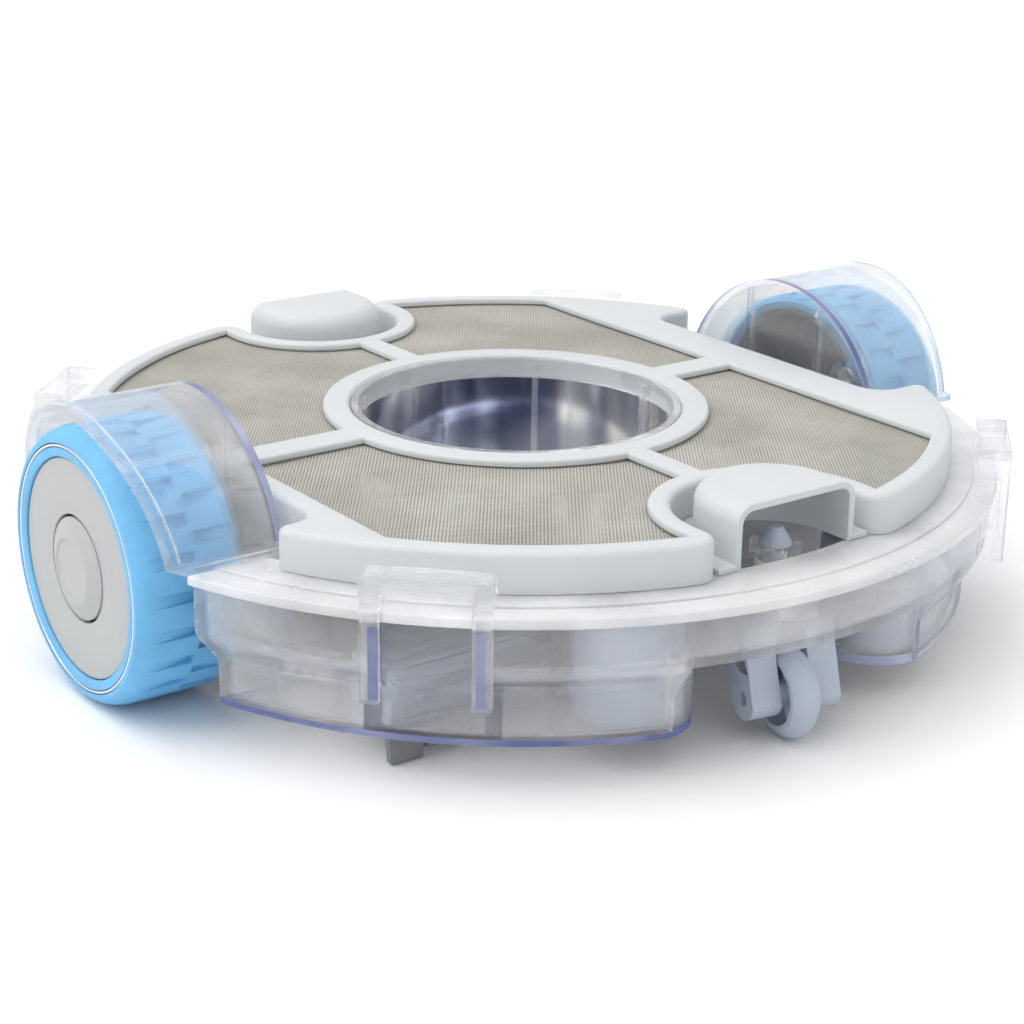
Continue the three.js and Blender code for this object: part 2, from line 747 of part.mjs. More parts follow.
function casterFork() {
  const arm = forkArm();
  const head = box(-FORK_HALF_W, FORK_HALF_W, -10, FORK_BACK_Y, FORK_HEAD_Z, FORK_TOP_Z);
  const stem = rodZ(STEM_R, FORK_TOP_Z - 0.5, STEM_TOP_Z, 20);
  const cone = rodZ(CONE_R, STEM_TOP_Z - 0.5, CONE_TOP_Z, 24, 2.3);
  const pinHole = rodX(PIN_R + RUNNING_FIT, -BIG, BIG, 20).translate([0, -CASTER_TRAIL, CASTER_R]);
  return join([arm, mirrored(arm), head, stem, cone]).subtract(pinHole);
}

function casterWheel() {
  const half = CASTER_WIDTH / 2;
  const rim = turnedX([
    [11.5, -half],
    [14.2, -half],
    [CASTER_R, -2.6],
    [CASTER_R, 2.6],
    [14.2, half],
    [11.5, half],
  ], 32);
  const bore = PIN_R + RUNNING_FIT;
  const hub = turnedX([[bore, -half], [5, -half], [5, half], [bore, half]], 20);
  const spokes = [];
  for (let i = 0; i < SPOKES; i += 1) {
    const spoke = box(-1.6, 1.6, -1, 1, 4, 12);
    spokes.push(spoke.rotate([(360 * i) / SPOKES, 0, 0]));
  }
  return join([rim, hub, ...spokes]).translate([0, -CASTER_TRAIL, CASTER_R]);
}

function casterPin() {
  return rodX(PIN_R, -14, 14, 20).translate([0, -CASTER_TRAIL, CASTER_R]);
}

// The bush lines the swivel hole and stands up from it; the collar snaps over its top.
function casterBush() {
  const bore = STEM_R + RUNNING_FIT;
  const foot = FORK_TOP_Z + GAP;
  return turned([
    [bore, foot],
    [BUSH_FLANGE_R, foot],
    [BUSH_FLANGE_R, foot + 0.9],
    [BUSH_R, foot + 0.9],
    [BUSH_R, BUSH_TOP_Z],
    [bore, BUSH_TOP_Z],
    [bore, foot],
  ], 24);
}

function casterCollar() {
  const ring = tubeZ(BUSH_R, STEM_R + 0.6, BUSH_TOP_Z + GAP, STEM_TOP_Z - 0.9, 24);
  const lugs = [45, 135, 225, 315].map((angle) => (
    box(BUSH_R - 0.5, BUSH_R + 1.8, -1.6, 1.6, BUSH_TOP_Z + 1.3, STEM_TOP_Z + 0.8).rotate([0, 0, angle])
  ));
  return join([ring, ...lugs]);
}

for (const end of ['front', 'rear']) {
  add(`caster_fork_${end}`, placeCasterPiece(casterFork(), end), casterPlastic);
  add(`caster_wheel_${end}`, placeCasterPiece(casterWheel(), end), casterPlastic);
  add(`caster_pin_${end}`, placeCasterPiece(casterPin(), end), steel);
  add(`caster_bush_${end}`, placeCasterPiece(casterBush(), end), bushPlastic);
  add(`caster_collar_${end}`, placeCasterPiece(casterCollar(), end), clearPlastic);
}

// ---------------------------------------------------------------- ballast

function ballastCup() {
  const foot = FLOOR_Z + FLOOR_THICK + GAP;
  return turned([
    [BALLAST_R - 2, foot],
    [BALLAST_R, foot],
    [BALLAST_R, BALLAST_TOP_Z - 2],
    [BALLAST_R - 2, BALLAST_TOP_Z],
    [0, BALLAST_TOP_Z],
    [0, BALLAST_TOP_Z - 2],
    [BALLAST_R - 2, BALLAST_TOP_Z - 2],
    [BALLAST_R - 2, foot],
  ], 24);
}

function ballastSlug() {
  const foot = FLOOR_Z + FLOOR_THICK + GAP;
  return rodZ(BALLAST_R - 2 - GAP, foot, foot + 8, 24);
}

for (const [place, [sx, sy]] of Object.entries(CORNERS)) {
  const spot = [sx * BALLAST_X, sy * BALLAST_Y, 0];
  add(`ballast_cup_${place}`, ballastCup().translate(spot), casterPlastic);
  add(`ballast_slug_${place}`, ballastSlug().translate(spot), steel);
}

// ---------------------------------------------------------------- intakes

function placeIntake(manifold, end) {
  return end === 'rear' ? manifold : rear(manifold);
}

function intakeDuct() {
  const foot = FLOOR_Z + FLOOR_THICK + GAP;
  const tube = slab(intakeOutline(0), foot, INTAKE_TOP_Z);
  const footY = INTAKE_Y1 + 3.5;
  const base = box(INTAKE_X0 + 2, INTAKE_X1 - 2, INTAKE_Y1 - 2, footY, foot, INTAKE_FOOT_Z);
  return tube.add(base).subtract(slab(intakeOutline(DECK_WALL), 0, BIG));
}

function intakeFlap() {
  const z0 = INTAKE_TOP_Z + GAP;
  const plate = slab(intakeOutline(0.4), z0, z0 + FLAP_THICK);
  const barrel = rodX(1.8, INTAKE_X0 + 10, INTAKE_X1 - 10, 16);
  return plate.add(barrel.translate([0, INTAKE_Y0 + 1.2, z0 + 1.8]));
}

function scraperLip() {
  const top = FLOOR_Z - GAP;
  const shortZ = LIP_TIP_Z + 2.6;
  const outline = [
    [INTAKE_X0, shortZ],
    [LIP_NOTCH_X - 1.5, shortZ],
    [LIP_NOTCH_X - 1.5, top - 3],
    [LIP_NOTCH_X, top - 3],
    [LIP_NOTCH_X, LIP_TIP_Z],
    [INTAKE_X1 - 1, LIP_TIP_Z],
    [INTAKE_X1, top],
    [INTAKE_X0, top],
  ];
  const blade = slab(outline, -1.4, 1.4).rotate([90, 0, 0]);
  return blade.translate([0, INTAKE_Y1 + 1.6, 0]);
}

for (const end of ['front', 'rear']) {
  add(`intake_duct_${end}`, placeIntake(intakeDuct(), end), casterPlastic);
  add(`intake_flap_${end}`, placeIntake(intakeFlap(), end), casterPlastic);
  add(`scraper_lip_${end}`, placeIntake(scraperLip(), end), lipPlastic);
}

export default part;
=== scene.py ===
"""Base unit of a round pool cleaning robot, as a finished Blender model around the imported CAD.

Shapes are drawn in millimetres in the CAD's own frame (X along the wheel axle, Y along the
direction of travel, Z up from the ground) and scaled to metres when a piece is finished.
"""

import math

import bmesh
import bpy
from mathutils import Matrix, Vector, noise


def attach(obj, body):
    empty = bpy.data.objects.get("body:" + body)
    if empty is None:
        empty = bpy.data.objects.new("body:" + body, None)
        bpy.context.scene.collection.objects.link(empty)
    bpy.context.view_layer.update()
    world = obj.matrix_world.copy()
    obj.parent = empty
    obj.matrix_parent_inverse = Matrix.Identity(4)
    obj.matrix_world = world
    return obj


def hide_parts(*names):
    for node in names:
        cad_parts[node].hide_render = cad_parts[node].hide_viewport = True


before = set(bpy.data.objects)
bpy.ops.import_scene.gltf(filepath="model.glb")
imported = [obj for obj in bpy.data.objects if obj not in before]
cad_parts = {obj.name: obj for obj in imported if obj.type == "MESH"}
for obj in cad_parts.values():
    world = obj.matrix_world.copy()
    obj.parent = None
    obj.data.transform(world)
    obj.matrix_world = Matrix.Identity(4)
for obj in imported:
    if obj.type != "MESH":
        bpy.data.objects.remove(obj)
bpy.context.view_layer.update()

# ---------------------------------------- dimensions, in millimetres

MM = 0.001
FAR = 400  # longer than the object, for cutters
ROUND = 192  # steps round the large turned pieces

FLOOR_Z = 13.5
FLOOR_TOP_Z = 17
BASIN_R = 176
BASIN_CORNER_R = 22.6
SKIRT_R = 184
SKIRT_BOTTOM_Z = 43
LIP_R = 186
LIP_STEP_R = 177  # where the lip's top steps up to the shelf
LIP_BOTTOM_Z = 60
SHELF_Z = 64.7
SHELF_INNER_R = 160
WALL = 2.6
WELL_X = 141  # inner face of each wheel well
WELL_HALF_Y = 58
RECESS_HALF_X = 35
RECESS_INNER_Y = 117

LATCH_OUT_R = 189.5
LATCH_HALF_W = 21.5
LATCH_POST_W = 6.5
LATCH_BOTTOM_Z = 33
LATCH_BAR_Z = 71.5
LATCH_TOP_Z = 77
LATCH_POCKET_R = 176.5
DIAGONALS = {"front_left": 225, "front_right": 315, "rear_right": 45, "rear_left": 135}

AXLE_Z = 50
WHEEL_R = 50
WHEEL_FACE_X = 190.5  # outer face of each tyre, from the centre
TYRE_WIDTH = 40
TRIM_RING_R = 43.9
HUB_DISC_R = 39.5
HUB_RECESS = 1.6  # hub disc behind the tyre's outer face
HUB_CAP_R = 18.5
DRUM_R = 44.2
DRUM_FACE_X = -6.3
DRUM_WEB_X = -9
DRUM_RIBS = 6
BOLTS = 2
BOLT_CIRCLE_R = 35.5
BOLT_ANGLE = 36  # degrees above the front
COVER_R = 58
COVER_WALL = 2.4
COVER_RIM = 1.5
COVER_REACH_R = 190  # outer edge, from the tray's centre
COVER_BASE_Z = 65
COVER_FOOT_HALF_Y = 62
COVER_FOOT_THICK = 2.2
COVER_RIB_Y = 21

DECK_R = 168
DECK_TOP_Z = 79.5
DECK_BOTTOM_Z = 65
DECK_PLATE = 2.6
DECK_WALL = 2.4
DECK_SOFT = 2.6  # radius of the deck's upper outer edge
NOTCH_HALF_Y = 70
NOTCH_LEFT_X = 134
NOTCH_RIGHT_X = 128
NOTCH_CORNER_R = 10
WING_CORNER_R = 4
SLOT_CORNER_R = 8
HOLE_R = 65
RING_R = 75.3
WINDOW_R = 160
WINDOW_LEFT_X = 125.5
WINDOW_RIGHT_X = 105
RIB_X_HALF = 7
RIB_Y_HALF = 4.8
SCREEN_Z = 76.9
SCREEN_BORDER = 1.2  # bonded under the window's ledge

WELL_OUT_R = 64.5
WELL_IN_R = 62
WELL_FLOOR_Z = 22
WELL_TOP_Z = 70.7
WELL_RIBS = (-6, 46, 136, 174, 226, 316)

HOOD_R = 27
HOOD_WALL = 2.6
HOOD_TOP_Z = 87.5
HOOD_MOUTH_Y = 160
HOOD_ARC_Y = 147.7
HOOD_SOFT = 7
CUTOUT_R = 34.5
POD_ARC_R = 42.7

CASTER_Y = 150
CASTER_TRAIL = 13
CASTER_R = 16.5
CASTER_HALF_W = 5.5
CASTER_YAW = -12  # degrees, how each caster stands at rest
CASTER_SPOKES = 5
FORK_HALF_W = 17.5
FORK_HEAD_Z = 36
FORK_TOP_Z = 41.5
STEM_R = 3
STEM_TOP_Z = 66.2  # foot of the cone that snaps through the collar
CONE_R = 5.9
CONE_TOP_Z = 72.8
PIN_R = 2.45
PIN_HALF = 14
BUSH_R = 7
BUSH_FLANGE_R = 10
BUSH_FOOT_Z = 41.8
BUSH_TOP_Z = 61.2

BALLAST_X = 57.2
BALLAST_Y = 141.5
BALLAST_R = 19.2
BALLAST_TOP_Z = 56

INTAKE_X = (58, 130)
INTAKE_Y = (80, 104)
INTAKE_TOP_Z = 33
INTAKE_CORNER_R = 7
INTAKE_WALL = 2.4
INTAKE_FOOT_Z = 24  # top of the foot along the outer side
FLAP_THICK = 1.8
LIP_TIP_Z = 0.8
LIP_TIP_X = 116  # the blade is deep from here to the end of the intake
FIT = 0.3  # clearance between neighbouring pieces


# ---------------------------------------- mesh helpers


def add(name, data):
    made = bpy.data.objects.new(name, data)
    bpy.context.scene.collection.objects.link(made)
    return made


def new_object(vertices, faces):
    mesh = bpy.data.meshes.new("solid")
    mesh.from_pydata(vertices, [], faces)
    solid = add("solid", mesh)
    shell = bmesh.new()
    shell.from_mesh(mesh)
    bmesh.ops.recalc_face_normals(shell, faces=shell.faces)
    shell.to_mesh(mesh)
    shell.free()
    return solid


def loft(rings, closed=False):
    """Rings of 3-D points, joined in order; the ends get caps, or meet each other if closed."""
    count = len(rings[0])
    vertices = [point for ring in rings for point in ring]
    faces = []
    spans = len(rings) if closed else len(rings) - 1
    for i in range(spans):
        here = i * count
        there = (i + 1) % len(rings) * count
        for j in range(count):
            k = (j + 1) % count
            faces.append((here + j, here + k, there + k, there + j))
    if not closed:
        faces.append(tuple(range(count)))
        faces.append(tuple(range((len(rings) - 1) * count, len(rings) * count)))
    return new_object(vertices, faces)


def lathe(profile, steps=ROUND):
    """A closed profile of (radius, height) turned about Z; points on the axis become poles."""
    vertices, index, faces = [], {}, []
    for i, (r, z) in enumerate(profile):
        for j in range(steps if r > 0 else 1):
            angle = math.tau * j / steps
            index[i, j] = len(vertices)
            vertices.append((r * math.cos(angle), r * math.sin(angle), z))
    for i in range(len(profile)):
        k = (i + 1) % len(profile)
        if profile[i][0] <= 0 and profile[k][0] <= 0:
            continue
        for j in range(steps):
            n = (j + 1) % steps
            a, b = index.get((i, j), index[i, 0]), index.get((i, n), index[i, 0])
            c, d = index.get((k, n), index[k, 0]), index.get((k, j), index[k, 0])
            corners = []
            for v in (a, b, c, d):
                if v not in corners:
                    corners.append(v)
            faces.append(corners)
    return new_object(vertices, faces)


def soften(profile, radii, steps=4):
    """The profile with the corner at each index in radii rounded to that radius."""
    result = []
    for i, corner in enumerate(profile):
        if i not in radii:
            result.append(corner)
            continue
        here = Vector(corner)
        back = (Vector(profile[i - 1]) - here).normalized()
        ahead = (Vector(profile[(i + 1) % len(profile)]) - here).normalized()
        half = back.angle(ahead) / 2
        reach = radii[i] / math.tan(half)
        centre = here + (back + ahead).normalized() * (radii[i] / math.sin(half))
        start = here + back * reach - centre
        stop = here + ahead * reach - centre
        for k in range(steps + 1):
            spoke = start.lerp(stop, k / steps).normalized() * radii[i]
            result.append(tuple(centre + spoke))
    return result


def arc(cx, cy, r, start, stop, steps):
    """Points on an arc; the angles are in degrees."""
    points = []
    for i in range(steps + 1):
        angle = math.radians(start + (stop - start) * i / steps)
        points.append((cx + r * math.cos(angle), cy + r * math.sin(angle)))
    return points


def heading(x, y):
    """The angle of a point seen from the origin, in degrees."""
    return math.degrees(math.atan2(y, x))


def slab(outline, z0, z1):
    return loft([[(x, y, z) for x, y in outline] for z in (z0, z1)])


def slab_x(outline, x0, x1):
    """An outline in Y and Z, given a thickness along X."""
    return loft([[(x, y, z) for y, z in outline] for x in (x0, x1)])


def soft_slab(outline_at, z0, z1, soft, steps=5):
    """A slab whose upper edge is rounded. outline_at(inset) gives the outline moved inwards."""
    rings = [[(x, y, z0) for x, y in outline_at(0)]]
    for i in range(steps + 1):
        angle = math.pi / 2 * i / steps
        inset = soft * (1 - math.cos(angle))
        z = z1 - soft + soft * math.sin(angle)
        rings.append([(x, y, z) for x, y in outline_at(inset)])
    return loft(rings)


def box(x0, x1, y0, y1, z0, z1):
    return slab([(x0, y0), (x1, y0), (x1, y1), (x0, y1)], z0, z1)


def tube(outer, inner, z0, z1, steps=ROUND, radii=()):
    """Corners 0 to 3 run from the inner bottom one; radii rounds them as soften() does."""
    return lathe(soften([(inner, z0), (outer, z0), (outer, z1), (inner, z1)], radii), steps)


def rod(radius, z0, z1, steps=48, radii=()):
    return tube(radius, 0, z0, z1, steps, radii)


def apply(solid, matrix):
    solid.data.transform(matrix)
    if matrix.determinant() < 0:
        solid.data.flip_normals()
    return solid


def move(solid, x=0, y=0, z=0):
    return apply(solid, Matrix.Translation((x, y, z)))


def turn(solid, degrees, axis="Z"):
    return apply(solid, Matrix.Rotation(math.radians(degrees), 4, axis))


def along_x(solid):
    """A piece turned about Z is laid along X, its height running to +X."""
    return turn(solid, 90, "Y")


def mirror_x(solid):
    return apply(solid, Matrix.Scale(-1, 4, (1, 0, 0)))


def copy(solid):
    twin = solid.copy()
    twin.data = solid.data.copy()
    bpy.context.scene.collection.objects.link(twin)
    return twin


def combine(solid, others, operation):
    for other in others:
        modifier = solid.modifiers.new("combine", "BOOLEAN")
        modifier.solver = "MANIFOLD"
        modifier.operation = operation
        modifier.object = other
        depsgraph = bpy.context.evaluated_depsgraph_get()
        mesh = bpy.data.meshes.new_from_object(solid.evaluated_get(depsgraph))
        solid.modifiers.clear()
        solid.data = mesh
        bpy.data.objects.remove(other)
    return solid


def cut(solid, *others):
    return combine(solid, others, "DIFFERENCE")


def join(solid, *others):
    return combine(solid, others, "UNION")


def common(solid, *others):
    return combine(solid, others, "INTERSECT")


def mark(solid, chosen, splits=()):
    """Splits the faces by planes, then gives each the material number chosen(centre, normal)."""
    shell = bmesh.new()
    shell.from_mesh(solid.data)
    for place, normal in splits:
        everything = shell.verts[:] + shell.edges[:] + shell.faces[:]
        bmesh.ops.bisect_plane(shell, geom=everything, plane_co=place, plane_no=normal)
    for face in shell.faces:
        face.material_index = chosen(face.calc_center_median(), face.normal)
    shell.to_mesh(solid.data)
    shell.free()
    return solid


def finish(solid, name, body, material, nodes=(), crease=32, soft=0, extra=()):
    """Names the piece, scales it to metres, smooths its round faces and puts it on its body."""
    solid.data.transform(Matrix.Scale(MM, 4))
    solid.name = name
    solid.data.name = name
    numbers = [face.material_index for face in solid.data.polygons]
    solid.data.materials.clear()
    for one in (material, *extra):
        solid.data.materials.append(one)
    solid.data.polygons.foreach_set("material_index", numbers)
    shell = bmesh.new()
    shell.from_mesh(solid.data)
    bmesh.ops.remove_doubles(shell, verts=shell.verts, dist=1e-6)
    bmesh.ops.dissolve_degenerate(shell, edges=shell.edges, dist=1e-6)
    for face in shell.faces:
        face.smooth = True
    limit = math.radians(crease)
    for edge in shell.edges:
        edge.smooth = len(edge.link_faces) == 2 and edge.calc_face_angle(0) < limit
    shell.to_mesh(solid.data)
    shell.free()
    if soft:
        bevel = solid.modifiers.new("soft_edges", "BEVEL")
        bevel.width = soft * MM
        bevel.segments = 2
        bevel.limit_method = "ANGLE"
        bevel.angle_limit = math.radians(40)
        bevel.harden_normals = True
    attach(solid, body)
    if nodes:
        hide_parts(*nodes)
    return solid


# ---------------------------------------- materials


class Shader:
    """A node material with a Principled shader and short calls for the nodes it needs."""

    def __init__(self, name, colour, roughness, **inputs):
        self.material = bpy.data.materials.new(name)
        self.material.use_nodes = True
        self.tree = self.material.node_tree
        self.main = self.tree.nodes["Principled BSDF"]
        self.output = self.tree.nodes["Material Output"]
        self.main.inputs["Base Color"].default_value = (*colour, 1)
        self.main.inputs["Roughness"].default_value = roughness
        for key, value in inputs.items():
            self.main.inputs[key.replace("_", " ")].default_value = value
        self.place = self.node("ShaderNodeTexCoord").outputs["Object"]

    def node(self, kind, **settings):
        made = self.tree.nodes.new(kind)
        for key, value in settings.items():
            setattr(made, key, value)
        return made

    def link(self, source, target):
        self.tree.links.new(source, target)

    def feed(self, key, source):
        self.link(source, self.main.inputs[key])

    def mapping(self, **settings):
        made = self.node("ShaderNodeMapping")
        for key, value in settings.items():
            made.inputs[key].default_value = value
        self.link(self.place, made.inputs["Vector"])
        return made.outputs["Vector"]

    def noise(self, scale, detail=3, roughness=0.5, stretch=None):
        made = self.node("ShaderNodeTexNoise")
        made.inputs["Scale"].default_value = scale
        made.inputs["Detail"].default_value = detail
        made.inputs["Roughness"].default_value = roughness
        place = self.mapping(Scale=stretch) if stretch else self.place
        self.link(place, made.inputs["Vector"])
        return made.outputs["Fac"]

    def ramp(self, factor, low, high, start=0.35, stop=0.65):
        """A colour between low and high as factor goes from start to stop."""
        made = self.node("ShaderNodeValToRGB")
        first, last = made.color_ramp.elements
        first.position, last.position = start, stop
        first.color, last.color = (*low, 1), (*high, 1)
        self.link(factor, made.inputs["Fac"])
        return made.outputs["Color"]

    def spread(self, factor, low, high):
        """A number between low and high."""
        made = self.node("ShaderNodeMapRange")
        made.inputs["From Min"].default_value = 0.3
        made.inputs["From Max"].default_value = 0.7
        made.inputs["To Min"].default_value = low
        made.inputs["To Max"].default_value = high
        self.link(factor, made.inputs["Value"])
        return made.outputs["Result"]

    def math(self, operation, *values):
        made = self.node("ShaderNodeMath", operation=operation)
        for socket, value in zip(made.inputs, values):
            if isinstance(value, (int, float)):
                socket.default_value = value
            else:
                self.link(value, socket)
        return made.outputs["Value"]

    def bump(self, height, distance, strength=1.0):
        made = self.node("ShaderNodeBump")
        made.inputs["Strength"].default_value = strength
        made.inputs["Distance"].default_value = distance
        self.link(height, made.inputs["Height"])
        self.feed("Normal", made.outputs["Normal"])

    def let_through(self, straight, tint):
        """Lets a share of what is behind show unbent, and direct light pass with a tint."""
        through = self.node("ShaderNodeBsdfTransparent")
        through.inputs["Color"].default_value = (tint, tint, tint, 1)
        body = self.node("ShaderNodeMixShader")
        body.inputs["Fac"].default_value = straight
        self.link(self.main.outputs["BSDF"], body.inputs[1])
        self.link(through.outputs["BSDF"], body.inputs[2])
        path = self.node("ShaderNodeLightPath")
        mix = self.node("ShaderNodeMixShader")
        self.link(path.outputs["Is Shadow Ray"], mix.inputs["Fac"])
        self.link(body.outputs["Shader"], mix.inputs[1])
        self.link(through.outputs["BSDF"], mix.inputs[2])
        self.link(mix.outputs["Shader"], self.output.inputs["Surface"])


def moulded(name, colour, roughness, tint=0.04, grain=0.00004, **inputs):
    """Injection-moulded plastic: faint flow clouds in the colour, fine grain in the gloss."""
    shader = Shader(name, colour, roughness, **inputs)
    clouds = shader.noise(14, 4, 0.6)
    low = [c * (1 - tint) for c in colour]
    high = [min(1, c * (1 + tint)) for c in colour]
    shader.feed("Base Color", shader.ramp(clouds, low, high))
    grains = shader.noise(1400, 2)
    gloss = shader.math("ADD", grains, shader.math("MULTIPLY", clouds, 0.5))
    rough = shader.spread(gloss, roughness - 0.06, roughness + 0.08)
    shader.feed("Roughness", rough)
    shader.bump(grains, grain, 0.6)
    return shader.material


def clear_plastic(name, haze, straight):
    """Clear polycarbonate: hazy, and bluer the longer light stays inside it.

    The share called straight goes through unbent, as it does through a thin even wall.
    """
    shader = Shader(name, (1, 1, 1), 0.03, IOR=1.45)
    waves = shader.noise(45, 2)
    cloud = shader.spread(waves, 1 - haze * 1.3, 1 - haze * 0.7)
    shader.feed("Transmission Weight", cloud)
    shader.feed("Roughness", shader.spread(waves, 0.015, 0.05))
    shader.bump(waves, 0.0002, 0.35)
    absorb = shader.node("ShaderNodeVolumeAbsorption")
    absorb.inputs["Color"].default_value = (0.33, 0.38, 0.72, 1)
    absorb.inputs["Density"].default_value = 6
    shader.link(absorb.outputs["Volume"], shader.output.inputs["Volume"])
    shader.let_through(straight, 0.98)
    return shader.material


def lit_edge():
    """Where light piped inside the clear plastic comes out: a cloudy indigo."""
    shader = Shader("lit_edge", (0.08, 0.1, 0.34), 0.12, IOR=1.45, Transmission_Weight=0.3)
    clouds = shader.noise(16, 3)
    colour = shader.ramp(clouds, (0.13, 0.16, 0.4), (0.55, 0.58, 0.78), 0.4, 0.64)
    shader.feed("Base Color", colour)
    shader.feed("Roughness", shader.spread(clouds, 0.08, 0.2))
    return shader.material


def frosted():
    """The tray's clear plastic where its faces were left matt: a milky white."""
    shader = Shader("frosted_lip", (0.95, 0.955, 0.97), 0.22, IOR=1.45)
    clouds = shader.noise(30, 3)
    shader.feed("Transmission Weight", shader.spread(clouds, 0.38, 0.6))
    shader.feed("Roughness", shader.spread(clouds, 0.16, 0.3))
    shader.bump(shader.noise(1500, 2), 0.00003, 0.5)
    shader.let_through(0.1, 0.9)
    return shader.material


def smoked_gloss():
    """Smoked, mirror-glossy plastic, dark, with pale clouds in its colour that are painted
    reflections.
    """
    shader = Shader("smoked_plastic", (0.1, 0.12, 0.18), 0.07, Metallic=0.9)
    # The offset places the painted reflections on the cup's wall.
    shader.place = shader.mapping(Location=(0.3, 0.1, 0), Scale=(1, 1, 0.8))
    clouds = shader.noise(17, 1, 0.4)
    # Painted reflections in the base colour: pale clouds of bright light between darker ones.
    colour = shader.ramp(clouds, (0.28, 0.3, 0.4), (0.97, 0.97, 0.96), 0.38, 0.5)
    shader.feed("Base Color", colour)
    shader.feed("Roughness", shader.spread(clouds, 0.05, 0.14))
    return shader.material


def woven_screen():
    """Fine woven nylon: crossing threads, lighter where they ride up and darker down their sides
    with painted shade, open between them.
    """
    shader = Shader("screen_cloth", (0.5, 0.48, 0.42), 0.6)
    threads = 830  # to a metre, laid on the bias
    turned = shader.mapping(Rotation=(0, 0, math.radians(36.5)))
    parts = shader.node("ShaderNodeSeparateXYZ")
    drift = shader.noise(9, 2)
    shader.link(turned, parts.inputs["Vector"])
    waves = []
    for axis in ("X", "Y"):
        shifted = shader.math("ADD", parts.outputs[axis], shader.math("MULTIPLY", drift, 0.0012))
        phase = shader.math("MULTIPLY", shifted, math.tau * threads)
        wave = shader.math("SINE", phase)
        waves.append(shader.math("MULTIPLY_ADD", wave, 0.5, 0.5))
    weave = shader.math("MAXIMUM", *waves)
    clouds = shader.noise(22, 4, 0.6)
    light = shader.ramp(clouds, (0.40, 0.385, 0.335), (0.54, 0.525, 0.47))
    # Painted shade: a dark colour towards each thread's sides, paler along its crown.
    dark = shader.node("ShaderNodeMix", data_type="RGBA")
    shader.link(weave, dark.inputs["Factor"])
    dark.inputs["A"].default_value = (0.2, 0.195, 0.17, 1)
    shader.link(light, dark.inputs["B"])
    shader.feed("Base Color", dark.outputs["Result"])
    shader.feed("Alpha", shader.math("GREATER_THAN", weave, 0.3))
    shader.bump(weave, 0.0002, 0.5)
    return shader.material


def brushed(name, colour, roughness):
    """Metal with fine turning marks."""
    shader = Shader(name, colour, roughness, Metallic=1.0)
    marks = shader.noise(900, 3, 0.6, (1, 1, 12))
    shader.feed("Roughness", shader.spread(marks, roughness - 0.08, roughness + 0.1))
    shader.bump(marks, 0.00003, 0.5)
    return shader.material


def rubber(name, colour, roughness):
    """Soft-touch rubber: a fine tooth and slightly paler rubbed patches."""
    shader = Shader(name, colour, roughness)
    rubbed = shader.noise(30, 5, 0.65)
    pale = [min(1, c * 1.12 + 0.01) for c in colour]
    deep = [c * 0.92 for c in colour]
    shader.feed("Base Color", shader.ramp(rubbed, deep, pale))
    shader.feed("Roughness", shader.spread(rubbed, roughness - 0.08, roughness + 0.1))
    shader.bump(shader.noise(1800, 2), 0.00005, 0.7)
    return shader.material


CLEAR = clear_plastic("clear_tray", 0.14, 0.38)
CLEARER = clear_plastic("clear_cover", 0.1, 0.42)
EDGE = lit_edge()
FROST = frosted()
CLOTH = woven_screen()
DECK = moulded("deck_plastic", (0.6, 0.625, 0.64), 0.4, 0.015)
SMOKED = smoked_gloss()
CASTER = moulded("caster_plastic", (0.43, 0.48, 0.57), 0.36)
BUSH = moulded("bush_plastic", (0.86, 0.86, 0.84), 0.35, 0.02)
HUB = moulded("hub_plastic", (0.44, 0.45, 0.45), 0.36, 0.02)
DRUM = moulded("drum_plastic", (0.02, 0.025, 0.037), 0.36)
TYRE = rubber("tyre_rubber", (0.14, 0.44, 0.74), 0.5)
LIP = rubber("lip_rubber", (0.2, 0.21, 0.22), 0.6)
STEEL = brushed("steel", (0.75, 0.75, 0.76), 0.25)


# ---------------------------------------- base tray


def wheel_wells(grow):
    half = WELL_HALF_Y + grow
    one = box(WELL_X - grow, FAR, -half, half, -FAR, FAR)
    return join(one, mirror_x(copy(one)))


def caster_recesses(grow):
    """The recess for each caster; it takes the corner off the basin round the ballast cups."""
    half = RECESS_HALF_X + grow
    top = SKIRT_BOTTOM_Z + grow
    one = box(-half, half, -FAR, -(RECESS_INNER_Y - grow), -FAR, top)
    corner = box(RECESS_HALF_X, BALLAST_X, -FAR, -BALLAST_Y, -FAR, top)
    corner = cut(corner, move(rod(BASIN_CORNER_R - grow, -FAR, FAR, 96), BALLAST_X, -BALLAST_Y))
    one = join(one, mirror_x(copy(corner)), corner)
    return join(one, turn(copy(one), 180))


def latch_pockets(grow):
    half = LATCH_HALF_W - LATCH_POST_W + grow
    top = SHELF_Z - WALL - 2 + grow
    one = box(LATCH_POCKET_R - grow, FAR, -half, half, -FAR, top)
    pockets = [turn(copy(one), angle) for angle in DIAGONALS.values()]
    bpy.data.objects.remove(one)
    return pockets


def in_latch_pocket(point):
    """Whether a point of the tray is on the flat wall behind a latch frame."""
    for degrees in DIAGONALS.values():
        angle = math.radians(degrees)
        ahead = point.x * math.cos(angle) + point.y * math.sin(angle)
        aside = abs(point.y * math.cos(angle) - point.x * math.sin(angle))
        if abs(ahead - LATCH_POCKET_R + WALL / 2) < WALL and aside < LATCH_HALF_W:
            return True
    return False


def flare(r0, z0, r1, z1, steps=8):
    """An S-curve from one radius and height to another."""
    points = []
    for i in range(steps + 1):
        t = i / steps
        points.append((r0 + (r1 - r0) * t * t * (3 - 2 * t), z0 + (z1 - z0) * t))
    return points


